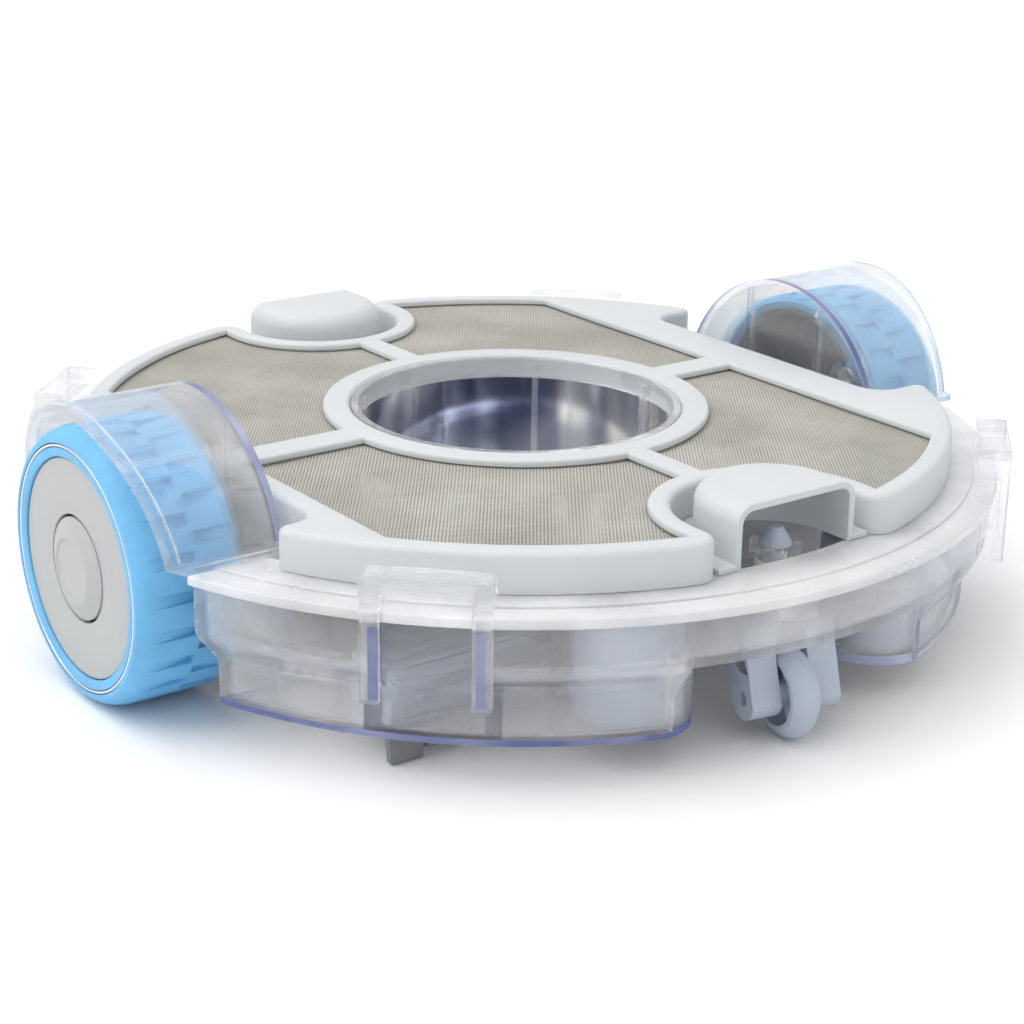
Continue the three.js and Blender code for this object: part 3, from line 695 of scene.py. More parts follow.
def base_tray():
    outside = [
        (0, FLOOR_Z),
        (BASIN_R, FLOOR_Z),
        *flare(BASIN_R, 29, SKIRT_R, SKIRT_BOTTOM_Z + 1),
        (SKIRT_R, LIP_BOTTOM_Z),
        (LIP_R, LIP_BOTTOM_Z),
        (LIP_R, SHELF_Z - 1),
        (LIP_STEP_R, SHELF_Z - 1),
        (LIP_STEP_R, SHELF_Z),
        (0, SHELF_Z),
    ]
    lip = len(outside) - 5
    outside = soften(outside, {1: 3, lip: 0.6, lip + 1: 0.8, lip + 3: 0.4})
    inside = [
        (0, FLOOR_TOP_Z),
        (BASIN_R - WALL, FLOOR_TOP_Z),
        *flare(BASIN_R - WALL, 31, SKIRT_R - WALL, SKIRT_BOTTOM_Z + 4),
        (SKIRT_R - WALL, SHELF_Z - WALL),
        (SHELF_INNER_R, SHELF_Z - WALL),
        (SHELF_INNER_R, SHELF_Z + 1),
        (0, SHELF_Z + 1),
    ]
    inside = soften(inside, {1: 2})
    hollow = cut(lathe(inside), wheel_wells(WALL), caster_recesses(WALL), *latch_pockets(WALL))
    tray = cut(lathe(outside), wheel_wells(0), caster_recesses(0), *latch_pockets(0), hollow)
    tray = cut(tray, move(along_x(rod(4.3, -FAR, FAR)), z=AXLE_Z))
    for side in (-1, 1):
        tray = cut(tray, move(rod(7.3, 38, SHELF_Z), y=side * CASTER_Y))
    slot = slab(intake_outline(INTAKE_WALL), FLOOR_Z - 5, FLOOR_TOP_Z + 2)
    tray = cut(tray, turn(copy(slot), 180), slot)

    def look(centre, normal):
        """Indigo round the floor's edge, frosted on the lip and shelf, clearest at the latches."""
        if centre.z < FLOOR_TOP_Z and abs(normal.z) < 0.9:
            return 1
        if centre.z > LIP_BOTTOM_Z and math.hypot(centre.x, centre.y) > SHELF_INNER_R - 1:
            return 2
        return 3 if in_latch_pocket(centre) else 0

    mark(tray, look, [((0, 0, FLOOR_TOP_Z), (0, 0, 1)), ((0, 0, LIP_BOTTOM_Z), (0, 0, 1))])
    quarters = [f"base_tray_{place}" for place in DIAGONALS]
    extra = (EDGE, FROST, CLEARER)
    return finish(tray, "tray_shell", "tray", CLEAR, quarters, extra=extra)


def latch_frame(place, angle):
    """An open frame over the rim, whose two posts are lit down their middles."""
    half = LATCH_HALF_W
    inner = half - LATCH_POST_W
    outline = [
        (-half, LATCH_BOTTOM_Z),
        (-inner, LATCH_BOTTOM_Z),
        (-inner, LATCH_BAR_Z),
        (inner, LATCH_BAR_Z),
        (inner, LATCH_BOTTOM_Z),
        (half, LATCH_BOTTOM_Z),
        (half, LATCH_TOP_Z),
        (-half, LATCH_TOP_Z),
    ]
    outline = soften(outline, {6: 2, 7: 2, 2: 1.2, 3: 1.2})
    piece = cut(slab_x(outline, SKIRT_R - 6, LATCH_OUT_R), rod(LIP_R + 0.3, 0, SHELF_Z + 0.3, ROUND))
    core_from, core_to = inner + 1, half - 2.3
    core_top = SHELF_Z - 6

    def post_cores(centre, normal):
        lit = core_from < abs(centre.y) < core_to and centre.z < core_top
        return int(lit and normal.x < -0.5)

    splits = [((0, y, 0), (0, 1, 0)) for y in (-core_to, -core_from, core_from, core_to)]
    mark(piece, post_cores, [((0, 0, core_top), (0, 0, 1)), *splits])
    turn(piece, angle)
    node = f"latch_frame_{place}"
    name = f"latch_{place}"
    return finish(piece, name, "tray", CLEARER, [node], soft=0.5, extra=[EDGE])


# ---------------------------------------- wheel covers


def wheel_cover(side):
    x0 = WELL_X - WALL
    inside = COVER_R - COVER_WALL
    outside = COVER_R + COVER_RIM
    arch = cut(along_x(rod(COVER_R, x0, FAR, 160)), along_x(rod(inside, WELL_X, FAR + 1, 160)))
    rim = cut(along_x(rod(outside, x0, FAR, 160)), along_x(rod(inside, x0 - 1, FAR + 1, 160)))
    rim = cut(move(rim, z=AXLE_Z), rod(COVER_REACH_R - 3, -FAR, FAR, ROUND))
    half = COVER_FOOT_HALF_Y
    foot = box(x0, FAR, -half, half, COVER_BASE_Z, COVER_BASE_Z + COVER_FOOT_THICK)
    foot = cut(foot, box(WELL_X, FAR + 1, 1 - inside, inside - 1, 0, 2 * AXLE_Z))
    whole = join(move(arch, z=AXLE_Z), rim, foot)
    rib_top = AXLE_Z + COVER_R - 7
    for y in (-COVER_RIB_Y, COVER_RIB_Y):
        whole = join(whole, box(WELL_X - 0.5, WELL_X + 2, y - 1, y + 1, COVER_BASE_Z, rib_top))
    above = box(-FAR, FAR, -FAR, FAR, COVER_BASE_Z, FAR)
    whole = common(whole, above, rod(COVER_REACH_R, 0, FAR, ROUND))

    def panel_edge(centre, normal):
        outer = math.hypot(centre.y, centre.z - AXLE_Z) > inside
        return int(outer and centre.x < WELL_X and abs(normal.x) < 0.3)

    mark(whole, panel_edge, [((WELL_X, 0, 0), (1, 0, 0))])
    if side == "left":
        whole = mirror_x(whole)
    node = f"wheel_cover_{side}"
    name = f"cover_{side}"
    return finish(whole, name, "tray", CLEARER, [node], soft=0.4, extra=[EDGE])


# ---------------------------------------- drive wheels

NOTCHES = 24
NOTCH_PITCH = 360 / NOTCHES
NOTCH_SPAN = 5  # degrees
NOTCH_DEPTH = 2.2
NOTCH_LENGTH = 16  # along the axle, from the deep end to where it runs out
NOTCH_DEEP_ENDS = (-21.9, -23.1)  # the outer row's and the inner row's, back from the face
TREAD_INNER_X = 3 - TYRE_WIDTH
TREAD_OUTER_X = -8.2
STEP = 0.05  # degrees between the two edges of a notch's side


def notch_depth(row, x, angle):
    """How far a notch cuts the tread there; the two rows are half a pitch apart."""
    phase = (angle - row * NOTCH_PITCH / 2) % NOTCH_PITCH
    share = 1 - abs(x - NOTCH_DEEP_ENDS[row]) / NOTCH_LENGTH
    return NOTCH_DEPTH * max(share, 0) if phase < NOTCH_SPAN else 0


def place_wheel_piece(solid, side):
    """Wheel pieces are drawn along X with the outer face at 0 and depth along -X."""
    move(solid, WHEEL_FACE_X, 0, AXLE_Z)
    return mirror_x(solid) if side == "left" else solid


def wheel_piece(solid, side, name, node, material, crease=32):
    place_wheel_piece(solid, side)
    nodes = [f"{node}_{side}"]
    return finish(solid, f"{name}_{side}", f"wheel_{side}", material, nodes, crease)


def tyre(side):
    """The profile's points carry a row number where ramp notches are cut into them."""
    bead, seat = HUB_DISC_R + 0.3, DRUM_R + 0.3
    back = -TYRE_WIDTH
    outer_end, inner_end = NOTCH_DEEP_ENDS
    groove = 0.8  # half width of the seat of the trim ring
    profile = [
        (bead, DRUM_FACE_X + 0.3, None),
        (seat, DRUM_FACE_X + 0.3, None),
        (seat, back + 2, None),
        (47.2, back, None),
        (48.9, back + 0.9, None),
        (WHEEL_R, TREAD_INNER_X, None),
        (WHEEL_R, TREAD_INNER_X + 0.1, 1),
        (WHEEL_R, inner_end, 1),
        (WHEEL_R, inner_end + 0.1, None),
        (WHEEL_R, outer_end - 0.1, None),
        (WHEEL_R, outer_end, 0),
        (WHEEL_R, TREAD_OUTER_X, 0),
        (49.4, -5, None),
        (48.5, -2.8, None),
        (47.2, -1.1, None),
        (46.2, -0.4, None),
        (TRIM_RING_R + groove, -0.3, None),
        (TRIM_RING_R + groove, -2.1, None),
        (TRIM_RING_R - groove, -2.1, None),
        (TRIM_RING_R - groove, -0.5, None),
        (bead + 0.6, -0.7, None),
        (bead, -1.2, None),
    ]
    ends = (0, NOTCH_SPAN, NOTCH_PITCH / 2, NOTCH_PITCH / 2 + NOTCH_SPAN)
    spots = {end + STEP for end in ends} | {1.25 * i for i in range(12)}
    rings = []
    for i in range(NOTCHES):
        for spot in sorted(spots):
            angle = i * NOTCH_PITCH + spot
            turned = math.radians(angle)
            ring = []
            for r, x, row in profile:
                if row is not None:
                    # A hair after each notch starts, so that its side has two edges.
                    r -= notch_depth(row, x, angle - STEP / 2)
                ring.append((x, -r * math.cos(turned), r * math.sin(turned)))
            rings.append(ring)
    tread = loft(rings, closed=True)
    return wheel_piece(tread, side, "tread", "tyre", TYRE, 24)


def trim_ring(side):
    r = TRIM_RING_R
    ring = along_x(tube(r + 0.5, r - 0.5, -1.8, -0.4, radii={2: 0.3, 3: 0.3}))
    return wheel_piece(ring, side, "silver_trim_ring", "trim_ring", STEEL)


def hub_disc(side):
    radii = {2: 0.6, 3: 0.4}
    disc = along_x(tube(HUB_DISC_R, HUB_CAP_R + 1, -4.6, -HUB_RECESS, radii=radii))
    return wheel_piece(disc, side, "face_hub_disc", "hub_disc", HUB)


def hub_cap(side):
    """A low cone whose flat top carries a raised ring, its only ornament."""
    profile = [
        (0, -3.4),
        (HUB_CAP_R, -3.4),
        (HUB_CAP_R, -HUB_RECESS),
        (13, 0.7),
        (12.2, 1),
        (11.4, 1),
        (10.8, 0.5),
        (0, 0.5),
    ]
    radii = {2: 0.5, 3: 0.5, 4: 0.25, 5: 0.25, 6: 0.3}
    cap = along_x(lathe(soften(profile, radii), 128))
    return wheel_piece(cap, side, "button", "hub_cap", HUB)


def wheel_drum(side):
    mouth = 2 - TYRE_WIDTH
    room = DRUM_R - 2.4
    profile = [
        (4.2, DRUM_WEB_X),
        (room, DRUM_WEB_X),
        (room, mouth),
        (DRUM_R, mouth),
        (DRUM_R, DRUM_FACE_X),
        (4.2, DRUM_FACE_X),
    ]
    drum = along_x(lathe(soften(profile, {1: 2, 2: 0.6, 3: 0.6}), 128))
    for i in range(DRUM_RIBS):
        rib = box(DRUM_WEB_X - 15, DRUM_WEB_X + 0.2, -0.8, 0.8, 9, DRUM_R - 1)
        drum = join(drum, turn(rib, 360 / DRUM_RIBS * i + 6, "X"))
    return wheel_piece(drum, side, "drum", "wheel_drum", DRUM)


def wheel_bolt(side, index):
    """A round-headed bolt with a six-sided socket, in a blue boss of the drum."""
    angle = math.radians(BOLT_ANGLE + 360 / BOLTS * index)
    y, z = -BOLT_CIRCLE_R * math.cos(angle), BOLT_CIRCLE_R * math.sin(angle)
    head_foot = 4 - TYRE_WIDTH
    head_top = head_foot - 3
    shank = along_x(rod(3.4, head_foot, DRUM_WEB_X - 0.3, 32))
    head = along_x(rod(5, head_top, head_foot, 40, {1: 0.7}))
    socket = along_x(rod(2.6, head_top - 1, head_top + 1.8, 6))
    bolt = move(cut(join(shank, head), socket), 0, y, z)
    name = f"{side}_{index + 1}"
    place_wheel_piece(bolt, side)
    finish(bolt, f"bolt_{name}", f"wheel_{side}", STEEL, [f"wheel_bolt_{name}"])
    boss_top = head_foot + 3
    profile = [(3.7, boss_top), (7.5, boss_top), (8.2, DRUM_WEB_X - 0.1), (3.7, DRUM_WEB_X - 0.1)]
    boss = move(along_x(lathe(soften(profile, {1: 1}), 40)), 0, y, z)
    place_wheel_piece(boss, side)
    return finish(boss, f"boss_{name}", f"wheel_{side}", TYRE, ())


# ---------------------------------------- filter deck


def deck_half(notch_x, inset):
    """Half of the deck's outline, from the front cut-out to the rear one, on the side of +X."""
    slot_x = CUTOUT_R + SLOT_CORNER_R
    slot_y = math.sqrt((DECK_R - SLOT_CORNER_R) ** 2 - slot_x**2)
    slot_angle = heading(slot_x, slot_y)
    wing_y = NOTCH_HALF_Y + WING_CORNER_R
    wing_x = math.sqrt((DECK_R - WING_CORNER_R) ** 2 - wing_y**2)
    wing_angle = heading(wing_x, wing_y)
    notch = (notch_x + NOTCH_CORNER_R, NOTCH_HALF_Y - NOTCH_CORNER_R)
    upper = [
        *arc(*notch, NOTCH_CORNER_R + inset, 180, 90, 8),
        *arc(wing_x, wing_y, WING_CORNER_R - inset, -90, wing_angle, 8),
        *arc(0, 0, DECK_R - inset, wing_angle, slot_angle, 30),
        *arc(slot_x, slot_y, SLOT_CORNER_R - inset, slot_angle, 180, 8),
    ]
    lower = [(x, -y) for x, y in reversed(upper)]
    return lower + upper


def deck_outline(inset):
    left = [(-x, -y) for x, y in deck_half(NOTCH_LEFT_X, inset)]
    rear_cut = arc(0, HOOD_ARC_Y, CUTOUT_R + inset, 0, -180, 36)
    front_cut = arc(0, -HOOD_ARC_Y, CUTOUT_R + inset, 180, 0, 36)
    return deck_half(NOTCH_RIGHT_X, inset) + rear_cut + left + front_cut


def window_outline(chord, grow):
    """One filter window in the +X, +Y quadrant, its edges moved outwards by grow."""
    ring, outer, pod = RING_R - grow, WINDOW_R + grow, POD_ARC_R - grow
    x0, y0, x1 = RIB_Y_HALF - grow, RIB_X_HALF - grow, chord + grow
    outer_y = (outer**2 + HOOD_ARC_Y**2 - pod**2) / (2 * HOOD_ARC_Y)
    outer_x = math.sqrt(outer**2 - outer_y**2)
    ring_from = math.degrees(math.acos(x0 / ring))
    ring_to = math.degrees(math.asin(y0 / ring))
    outer_from = math.degrees(math.acos(x1 / outer))
    pod_to = -math.degrees(math.acos(x0 / pod))
    return [
        *arc(0, 0, ring, ring_from, ring_to, 32),
        (x1, y0),
        *arc(0, 0, outer, outer_from, heading(outer_x, outer_y), 24),
        *arc(0, HOOD_ARC_Y, pod, heading(outer_x, outer_y - HOOD_ARC_Y), pod_to, 24)[1:],
    ]


WINDOWS = {
    "front_left": (WINDOW_LEFT_X, -1, -1),
    "front_right": (WINDOW_RIGHT_X, 1, -1),
    "rear_right": (WINDOW_RIGHT_X, 1, 1),
    "rear_left": (WINDOW_LEFT_X, -1, 1),
}


def window_slab(place, levels):
    """A window-shaped prism through (grow, z) levels."""
    chord, sx, sy = WINDOWS[place]
    rings = [[(x * sx, y * sy, z) for x, y in window_outline(chord, grow)] for grow, z in levels]
    return loft(rings)


def filter_deck():
    under = DECK_BOTTOM_Z - 1
    hollow = slab(deck_outline(DECK_WALL), under, DECK_TOP_Z - DECK_PLATE)
    hollow = cut(hollow, rod(HOLE_R + DECK_WALL, 0, FAR, ROUND))
    deck = soft_slab(deck_outline, DECK_BOTTOM_Z, DECK_TOP_Z, DECK_SOFT)
    for place in WINDOWS:
        hollow = cut(hollow, window_slab(place, [(3.9, under - 1), (3.9, DECK_TOP_Z)]))
    # The flared top of each window's cutter rounds the window's edge over.
    flares = ((0, -1.2), (0.15, -0.6), (0.5, -0.2), (1.1, 0), (1.1, 1))
    levels = [(0, under), *((grow, DECK_TOP_Z + z) for grow, z in flares)]
    deck = cut(deck, hollow)
    for place in WINDOWS:
        deck = cut(deck, window_slab(place, levels))
        deck = cut(deck, window_slab(place, [(1.5, under), (1.5, 77.2)]))
    edge = [(0, 0), (HOLE_R, 0), (HOLE_R, DECK_TOP_Z - 1), (HOLE_R + 1, DECK_TOP_Z)]
    deck = cut(deck, lathe(edge + [(HOLE_R + 1, FAR), (0, FAR)]))
    return finish(deck, "deck_plate", "filter", DECK, ["filter_deck"], soft=0.25)


def screen(place):
    """Cloth bonded under the window's ledge: taut at the edge, easing down and rippling inside."""
    size = 72
    reach = 170
    rings = []
    for j in range(size + 1):
        ring_top, ring_bottom = [], []
        for i in range(size + 1):
            x, y = (reach * (2 * t / size - 1) for t in (i, j))
            spot = Vector((x * 0.022, y * 0.022, 0.3))
            sag = 0.9 * noise.noise(spot) + 0.25 * noise.noise(spot * 3.1) - 0.5
            ring_top.append((x, y, SCREEN_Z - 0.4 + 0.5 * sag))
            ring_bottom.append((x, y, SCREEN_Z - 0.85 + 0.5 * sag))
        rings.append(ring_top + ring_bottom[::-1])
    sheet = common(loft(rings), window_slab(place, [(SCREEN_BORDER, 70), (SCREEN_BORDER, 80)]))
    node = f"screen_{place}"
    finish(sheet, f"cloth_{place}", "filter", CLOTH, [node])
    return sheet


def well_cup():
    profile = [
        (0, WELL_FLOOR_Z),
        (WELL_OUT_R, WELL_FLOOR_Z),
        (WELL_OUT_R, WELL_TOP_Z),
        (WELL_IN_R, WELL_TOP_Z),
        (WELL_IN_R, WELL_FLOOR_Z + WALL),
        (0, WELL_FLOOR_Z + WALL),
    ]
    solid = lathe(soften(profile, {1: 3, 4: 4}, 6))
    return finish(solid, "cup_wall", "filter", SMOKED, ["well_cup"])


def well_ring():
    """The clear ring in the well's mouth, its ribs, a small tab and a wider bracket."""
    bottom, top, inner = WELL_TOP_Z + 0.3, DECK_TOP_Z - 0.4, WELL_IN_R - 0.6
    ring = tube(WELL_OUT_R, inner, bottom, top, radii={2: 0.6, 3: 0.6})
    for angle in WELL_RIBS:
        wide = 2.6 if angle == -6 else 1.2
        rib = box(WELL_IN_R - 2.6, WELL_IN_R - 0.4, -wide, wide, WELL_FLOOR_Z + WALL + 4, top - 1.6)
        ring = join(ring, turn(rib, angle))
    return finish(ring, "clear_well_ring", "filter", CLEAR, ["well_ring"], soft=0.3)


# ---------------------------------------- caster hoods


def hood_outline(radius, end_y):
    return arc(0, -HOOD_ARC_Y, radius, 0, 180, 40) + [(-radius, -end_y), (radius, -end_y)]


def hood(end):
    def outer_at(inset):
        return hood_outline(HOOD_R - inset, HOOD_MOUTH_Y + 20)

    def inner_at(inset):
        return hood_outline(HOOD_R - HOOD_WALL - inset, HOOD_MOUTH_Y + 30)

    shell = soft_slab(outer_at, DECK_BOTTOM_Z, HOOD_TOP_Z, HOOD_SOFT, 10)
    foot = slab(hood_outline(CUTOUT_R - 0.3, HOOD_MOUTH_Y), DECK_BOTTOM_Z, DECK_BOTTOM_Z + 2)
    room = soft_slab(inner_at, 0, HOOD_TOP_Z - HOOD_WALL, HOOD_SOFT - HOOD_WALL, 8)
    mouth = box(-FAR, FAR, -HOOD_MOUTH_Y, FAR, 0, FAR)
    shell = common(cut(join(shell, foot), room), mouth)
    if end == "rear":
        turn(shell, 180)
    nodes = [f"caster_hood_{end}"]
    return finish(shell, f"hood_{end}", "filter", DECK, nodes, soft=0.5)


# ---------------------------------------- casters


def place_caster_piece(solid, end):
    """Caster pieces are drawn with the swivel on Z and the wheel trailing along -Y."""
    move(turn(solid, CASTER_YAW), y=-CASTER_Y)
    return turn(solid, 180) if end == "rear" else solid


def caster_piece(solid, end, name, node, body, material, soft=0):
    place_caster_piece(solid, end)
    return finish(solid, f"{name}_{end}", body, material, [f"caster_{node}_{end}"], soft=soft)


def fork_arm():
    """One arm of the fork, round at the pin, with a hollow in its outer face."""
    pin_end = arc(-CASTER_TRAIL, CASTER_R, 7.5, 194, 346, 20)
    outline = [(-11, FORK_TOP_Z), *pin_end, (8, FORK_HEAD_Z), (8, FORK_TOP_Z)]
    arm = slab_x(outline, CASTER_HALF_W + 0.7, FORK_HALF_W)
    low = CASTER_R + 9
    channel = [(-9, 35.5), (-16, low + 0.5), (-9.5, low), (-4, low + 4), (4, 35.5)]
    return cut(arm, slab_x(channel, FORK_HALF_W - 8, FORK_HALF_W + 1))


def caster_fork(end):
    arm = fork_arm()
    head = box(-FORK_HALF_W, FORK_HALF_W, -10, 8, FORK_HEAD_Z, FORK_TOP_Z)
    stem = rod(STEM_R, FORK_TOP_Z - 0.5, STEM_TOP_Z + 0.8)
    cone = [
        (0, STEM_TOP_Z),
        (CONE_R, STEM_TOP_Z),
        (CONE_R - 0.3, STEM_TOP_Z + 1.2),
        (2.3, CONE_TOP_Z),
        (0, CONE_TOP_Z),
    ]
    tip = lathe(soften(cone, {1: 0.4, 3: 0.5}), 64)
    hole = move(along_x(rod(PIN_R + 0.15, -FAR, FAR, 40)), y=-CASTER_TRAIL, z=CASTER_R)
    fork = cut(join(arm, mirror_x(copy(arm)), head, stem, tip), hole)
    return caster_piece(fork, end, "fork", "fork", f"caster_{end}", CASTER, 0.6)


def caster_wheel(end):
    half = CASTER_HALF_W
    crown = [(CASTER_R - 3.4 * (abs(t) / 6) ** 2.4, half * t / 6) for t in range(-6, 7)]
    rim = lathe([(11.3, -half), *crown, (11.3, half), (10.8, 0)], 96)
    hub = tube(5, PIN_R + 0.15, -half, half, 64)
    wheel = along_x(join(rim, hub))
    for i in range(CASTER_SPOKES):
        spoke = box(-2.4, 2.4, -1, 1, 4, 12)
        wheel = join(wheel, turn(spoke, 360 / CASTER_SPOKES * i, "X"))
    move(wheel, y=-CASTER_TRAIL, z=CASTER_R)
    body = f"caster_roller_{end}"
    return caster_piece(wheel, end, "roller", "wheel", body, CASTER, 0.3)


def caster_pin(end):
    pin = along_x(rod(PIN_R, -PIN_HALF, PIN_HALF, 40, {1: 0.5, 2: 0.5}))
    move(pin, y=-CASTER_TRAIL, z=CASTER_R)
    return caster_piece(pin, end, "pin", "pin", f"caster_{end}", STEEL)


def caster_bush(end):
    bore, flange_top = STEM_R + 0.2, BUSH_FOOT_Z + 0.9
    profile = [
        (bore, BUSH_FOOT_Z),
        (BUSH_FLANGE_R, BUSH_FOOT_Z),
        (BUSH_FLANGE_R, flange_top),
        (BUSH_R, flange_top),
        (BUSH_R, BUSH_TOP_Z),
        (bore, BUSH_TOP_Z),
    ]
    bush = lathe(soften(profile, {4: 0.7, 5: 0.5}), 64)
    return caster_piece(bush, end, "bush", "bush", "tray", BUSH)


def caster_collar(end):
    """A clear ring on top of the bush, with four tabs."""
    foot = BUSH_TOP_Z + FIT
    ring = tube(BUSH_R, STEM_R + 0.6, foot, STEM_TOP_Z - 0.4, 64)
    for angle in sorted(DIAGONALS.values()):
        tab = box(BUSH_R - 0.5, BUSH_R + 1.8, -1.6, 1.6, foot + 1, foot + 6)
        ring = join(ring, turn(tab, angle))
    return caster_piece(ring, end, "collar", "collar", "tray", CLEAR, 0.3)


# ---------------------------------------- ballast and intakes


def ballast_cup(place, sx, sy):
    foot = FLOOR_TOP_Z + FIT
    inner = BALLAST_R - 2
    profile = [
        (inner, foot),
        (BALLAST_R, foot),
        (BALLAST_R, BALLAST_TOP_Z),
        (0, BALLAST_TOP_Z),
        (0, BALLAST_TOP_Z - 2),
        (inner, BALLAST_TOP_Z - 2),
    ]
    cup = move(lathe(soften(profile, {1: 0.8, 2: 2.2, 5: 1}), 96), sx * BALLAST_X, sy * BALLAST_Y)
    return finish(cup, f"cup_{place}", "tray", CASTER, [f"ballast_cup_{place}"])


def intake_outline(shrink):
    corner = INTAKE_CORNER_R
    r = corner - shrink
    x0, x1 = INTAKE_X[0] + corner, INTAKE_X[1] - corner
    y0, y1 = INTAKE_Y[0] + corner, INTAKE_Y[1] - corner
    return [
        *arc(x1, y1, r, 0, 90, 8),
        *arc(x0, y1, r, 90, 180, 8),
        *arc(x0, y0, r, 180, 270, 8),
        *arc(x1, y0, r, 270, 360, 8),
    ]


def place_intake(solid, end):
    return turn(solid, 180) if end == "front" else solid


def intake_duct(end):
    """The open box round the slot in the floor, with a ribbed foot along its outer side."""
    (x0, x1), y1 = INTAKE_X, INTAKE_Y[1]
    foot = FLOOR_TOP_Z + FIT
    duct = slab(intake_outline(0), foot, INTAKE_TOP_Z)
    duct = join(duct, box(x0 + 2, x1 - 2, y1 - 2, y1 + 2.4, foot, INTAKE_FOOT_Z))
    for x in range(x0 + 8, x1, 18):
        duct = join(duct, box(x, x + 1.6, y1 - 2, y1 + 3.5, foot, INTAKE_FOOT_Z))
    duct = place_intake(cut(duct, slab(intake_outline(INTAKE_WALL), 0, FAR)), end)
    nodes = [f"intake_duct_{end}"]
    return finish(duct, f"duct_{end}", "tray", CASTER, nodes, soft=0.4)


def intake_flap(end):
    """The lid of the duct, with its hinge barrel along the inner side."""
    z = INTAKE_TOP_Z + FIT
    flap = slab(intake_outline(0.4), z, z + FLAP_THICK)
    barrel = along_x(rod(FLAP_THICK, INTAKE_X[0] + 10, INTAKE_X[1] - 10, 32))
    flap = join(flap, move(barrel, y=INTAKE_Y[0] + 1.2, z=z + FLAP_THICK))
    place_intake(flap, end)
    name = f"flap_{end}"
    return finish(flap, name, name, CASTER, [f"intake_{name}"], soft=0.3)


def scraper_lip(end):
    """A rubber blade under the floor, shallow along the slot and deep at its outer end."""
    (x0, x1), y = INTAKE_X, INTAKE_Y[1] + 1.6
    top = FLOOR_Z - FIT
    outline = [
        (x0, 3.4),
        (LIP_TIP_X - 1.5, 3.4),
        (LIP_TIP_X - 1.5, top - 3),
        (LIP_TIP_X, top - 3),
        (LIP_TIP_X, LIP_TIP_Z),
        (x1 - 1, LIP_TIP_Z),
        (x1, top),
        (x0, top),
    ]
    outline = soften(outline, {4: 0.8, 5: 1})
    blade = loft([[(x, y + side, z) for x, z in outline] for side in (-1.4, 1.4)])
    place_intake(blade, end)
    nodes = [f"scraper_lip_{end}"]
    return finish(blade, f"lip_{end}", "tray", LIP, nodes, soft=0.3)


# ---------------------------------------- the CAD nodes that stay


def dress_remaining():
    """Nodes whose plain shape is right keep it and get a proper material."""
    for name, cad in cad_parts.items():
        if name.startswith(("axle", "ballast_slug")):
            cad.data.materials.clear()
            cad.data.materials.append(STEEL)


# ---------------------------------------- floor, light and camera


def stage_floor():
    """A white paper floor, 8 m across."""
    solid = new_object([(-4, -4, 0), (4, -4, 0), (4, 4, 0), (-4, 4, 0)], [(0, 1, 2, 3)])
    solid.name = "floor"
    shader = Shader("floor_paper", (0.92, 0.92, 0.92), 0.9)
    fibres = shader.noise(60, 4)
    paper = shader.ramp(fibres, (0.915, 0.915, 0.915), (0.925, 0.925, 0.925))
    shader.feed("Base Color", paper)
    solid.data.materials.append(shader.material)


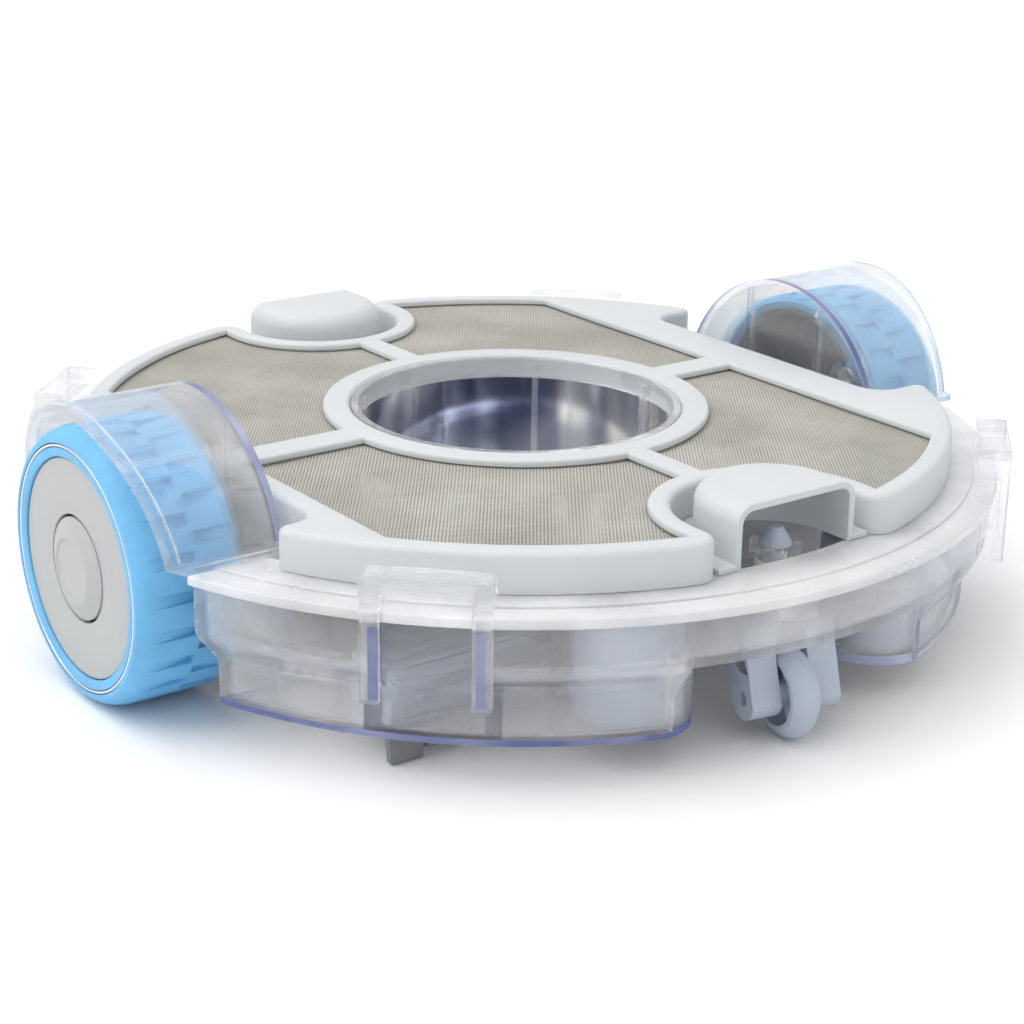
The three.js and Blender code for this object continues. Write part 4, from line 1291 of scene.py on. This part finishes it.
def studio():
    """White surroundings, brighter overhead than at the horizon, a broad key and a softbox."""
    world = bpy.data.worlds.new("studio")
    bpy.context.scene.world = world
    world.use_nodes = True
    tree = world.node_tree
    place = tree.nodes.new("ShaderNodeTexCoord")
    parts = tree.nodes.new("ShaderNodeSeparateXYZ")
    height = tree.nodes.new("ShaderNodeMapRange")
    height.inputs["To Min"].default_value = 0.72
    height.inputs["To Max"].default_value = 1.02
    tree.links.new(place.outputs["Generated"], parts.inputs["Vector"])
    tree.links.new(parts.outputs["Z"], height.inputs["Value"])
    tree.links.new(height.outputs["Result"], tree.nodes["Background"].inputs["Strength"])
    tree.nodes["Background"].inputs["Color"].default_value = (1, 1, 1, 1)
    key = bpy.data.lights.new("key", "SUN")
    key.energy = 1.2
    key.angle = math.radians(50)
    add("key", key).rotation_euler = (math.radians(-14), math.radians(-22), 0)
    softbox = bpy.data.lights.new("left", "AREA")
    softbox.shape = "RECTANGLE"
    softbox.size, softbox.size_y = 0.6, 0.9
    softbox.energy = 2.5
    holder = add("left", softbox)
    holder.location = (-1.5, 0.3, 0.9)
    holder.rotation_mode = "QUATERNION"
    ahead = Vector((0, 0, 0.05)) - holder.location
    holder.rotation_quaternion = ahead.to_track_quat("-Z", "Y")
    bpy.context.scene.view_settings.view_transform = "Standard"


def camera():
    place = Vector((-0.49607, -0.66856, 0.3319))
    azimuth, elevation, roll = (math.radians(a) for a in (-36.51, 19.75, 0.84))
    back = Vector((
        math.sin(azimuth) * math.cos(elevation),
        -math.cos(azimuth) * math.cos(elevation),
        math.sin(elevation),
    ))
    level = Vector((math.cos(azimuth), math.sin(azimuth), 0))
    upright = back.cross(level)
    right = level * math.cos(roll) + upright * math.sin(roll)
    up = upright * math.cos(roll) - level * math.sin(roll)
    lens = bpy.data.cameras.new("camera")
    lens.sensor_width = 36
    lens.lens = 78.13
    lens.clip_start = 0.01
    eye = add("camera", lens)
    aim = Matrix((right, up, back)).transposed().to_4x4()
    eye.matrix_world = Matrix.Translation(place) @ aim
    bpy.context.scene.camera = eye


# ---------------------------------------- build everything

base_tray()
for place, angle in DIAGONALS.items():
    latch_frame(place, angle)
for side in ("left", "right"):
    wheel_cover(side)
    tyre(side)
    trim_ring(side)
    hub_disc(side)
    hub_cap(side)
    wheel_drum(side)
    for index in range(BOLTS):
        wheel_bolt(side, index)
filter_deck()
for place in WINDOWS:
    screen(place)
well_cup()
well_ring()
for end in ("front", "rear"):
    hood(end)
    caster_fork(end)
    caster_wheel(end)
    caster_pin(end)
    caster_bush(end)
    caster_collar(end)
    intake_duct(end)
    intake_flap(end)
    scraper_lip(end)
for place, (_, sx, sy) in WINDOWS.items():
    ballast_cup(place, sx, sy)
dress_remaining()
stage_floor()
studio()
camera()
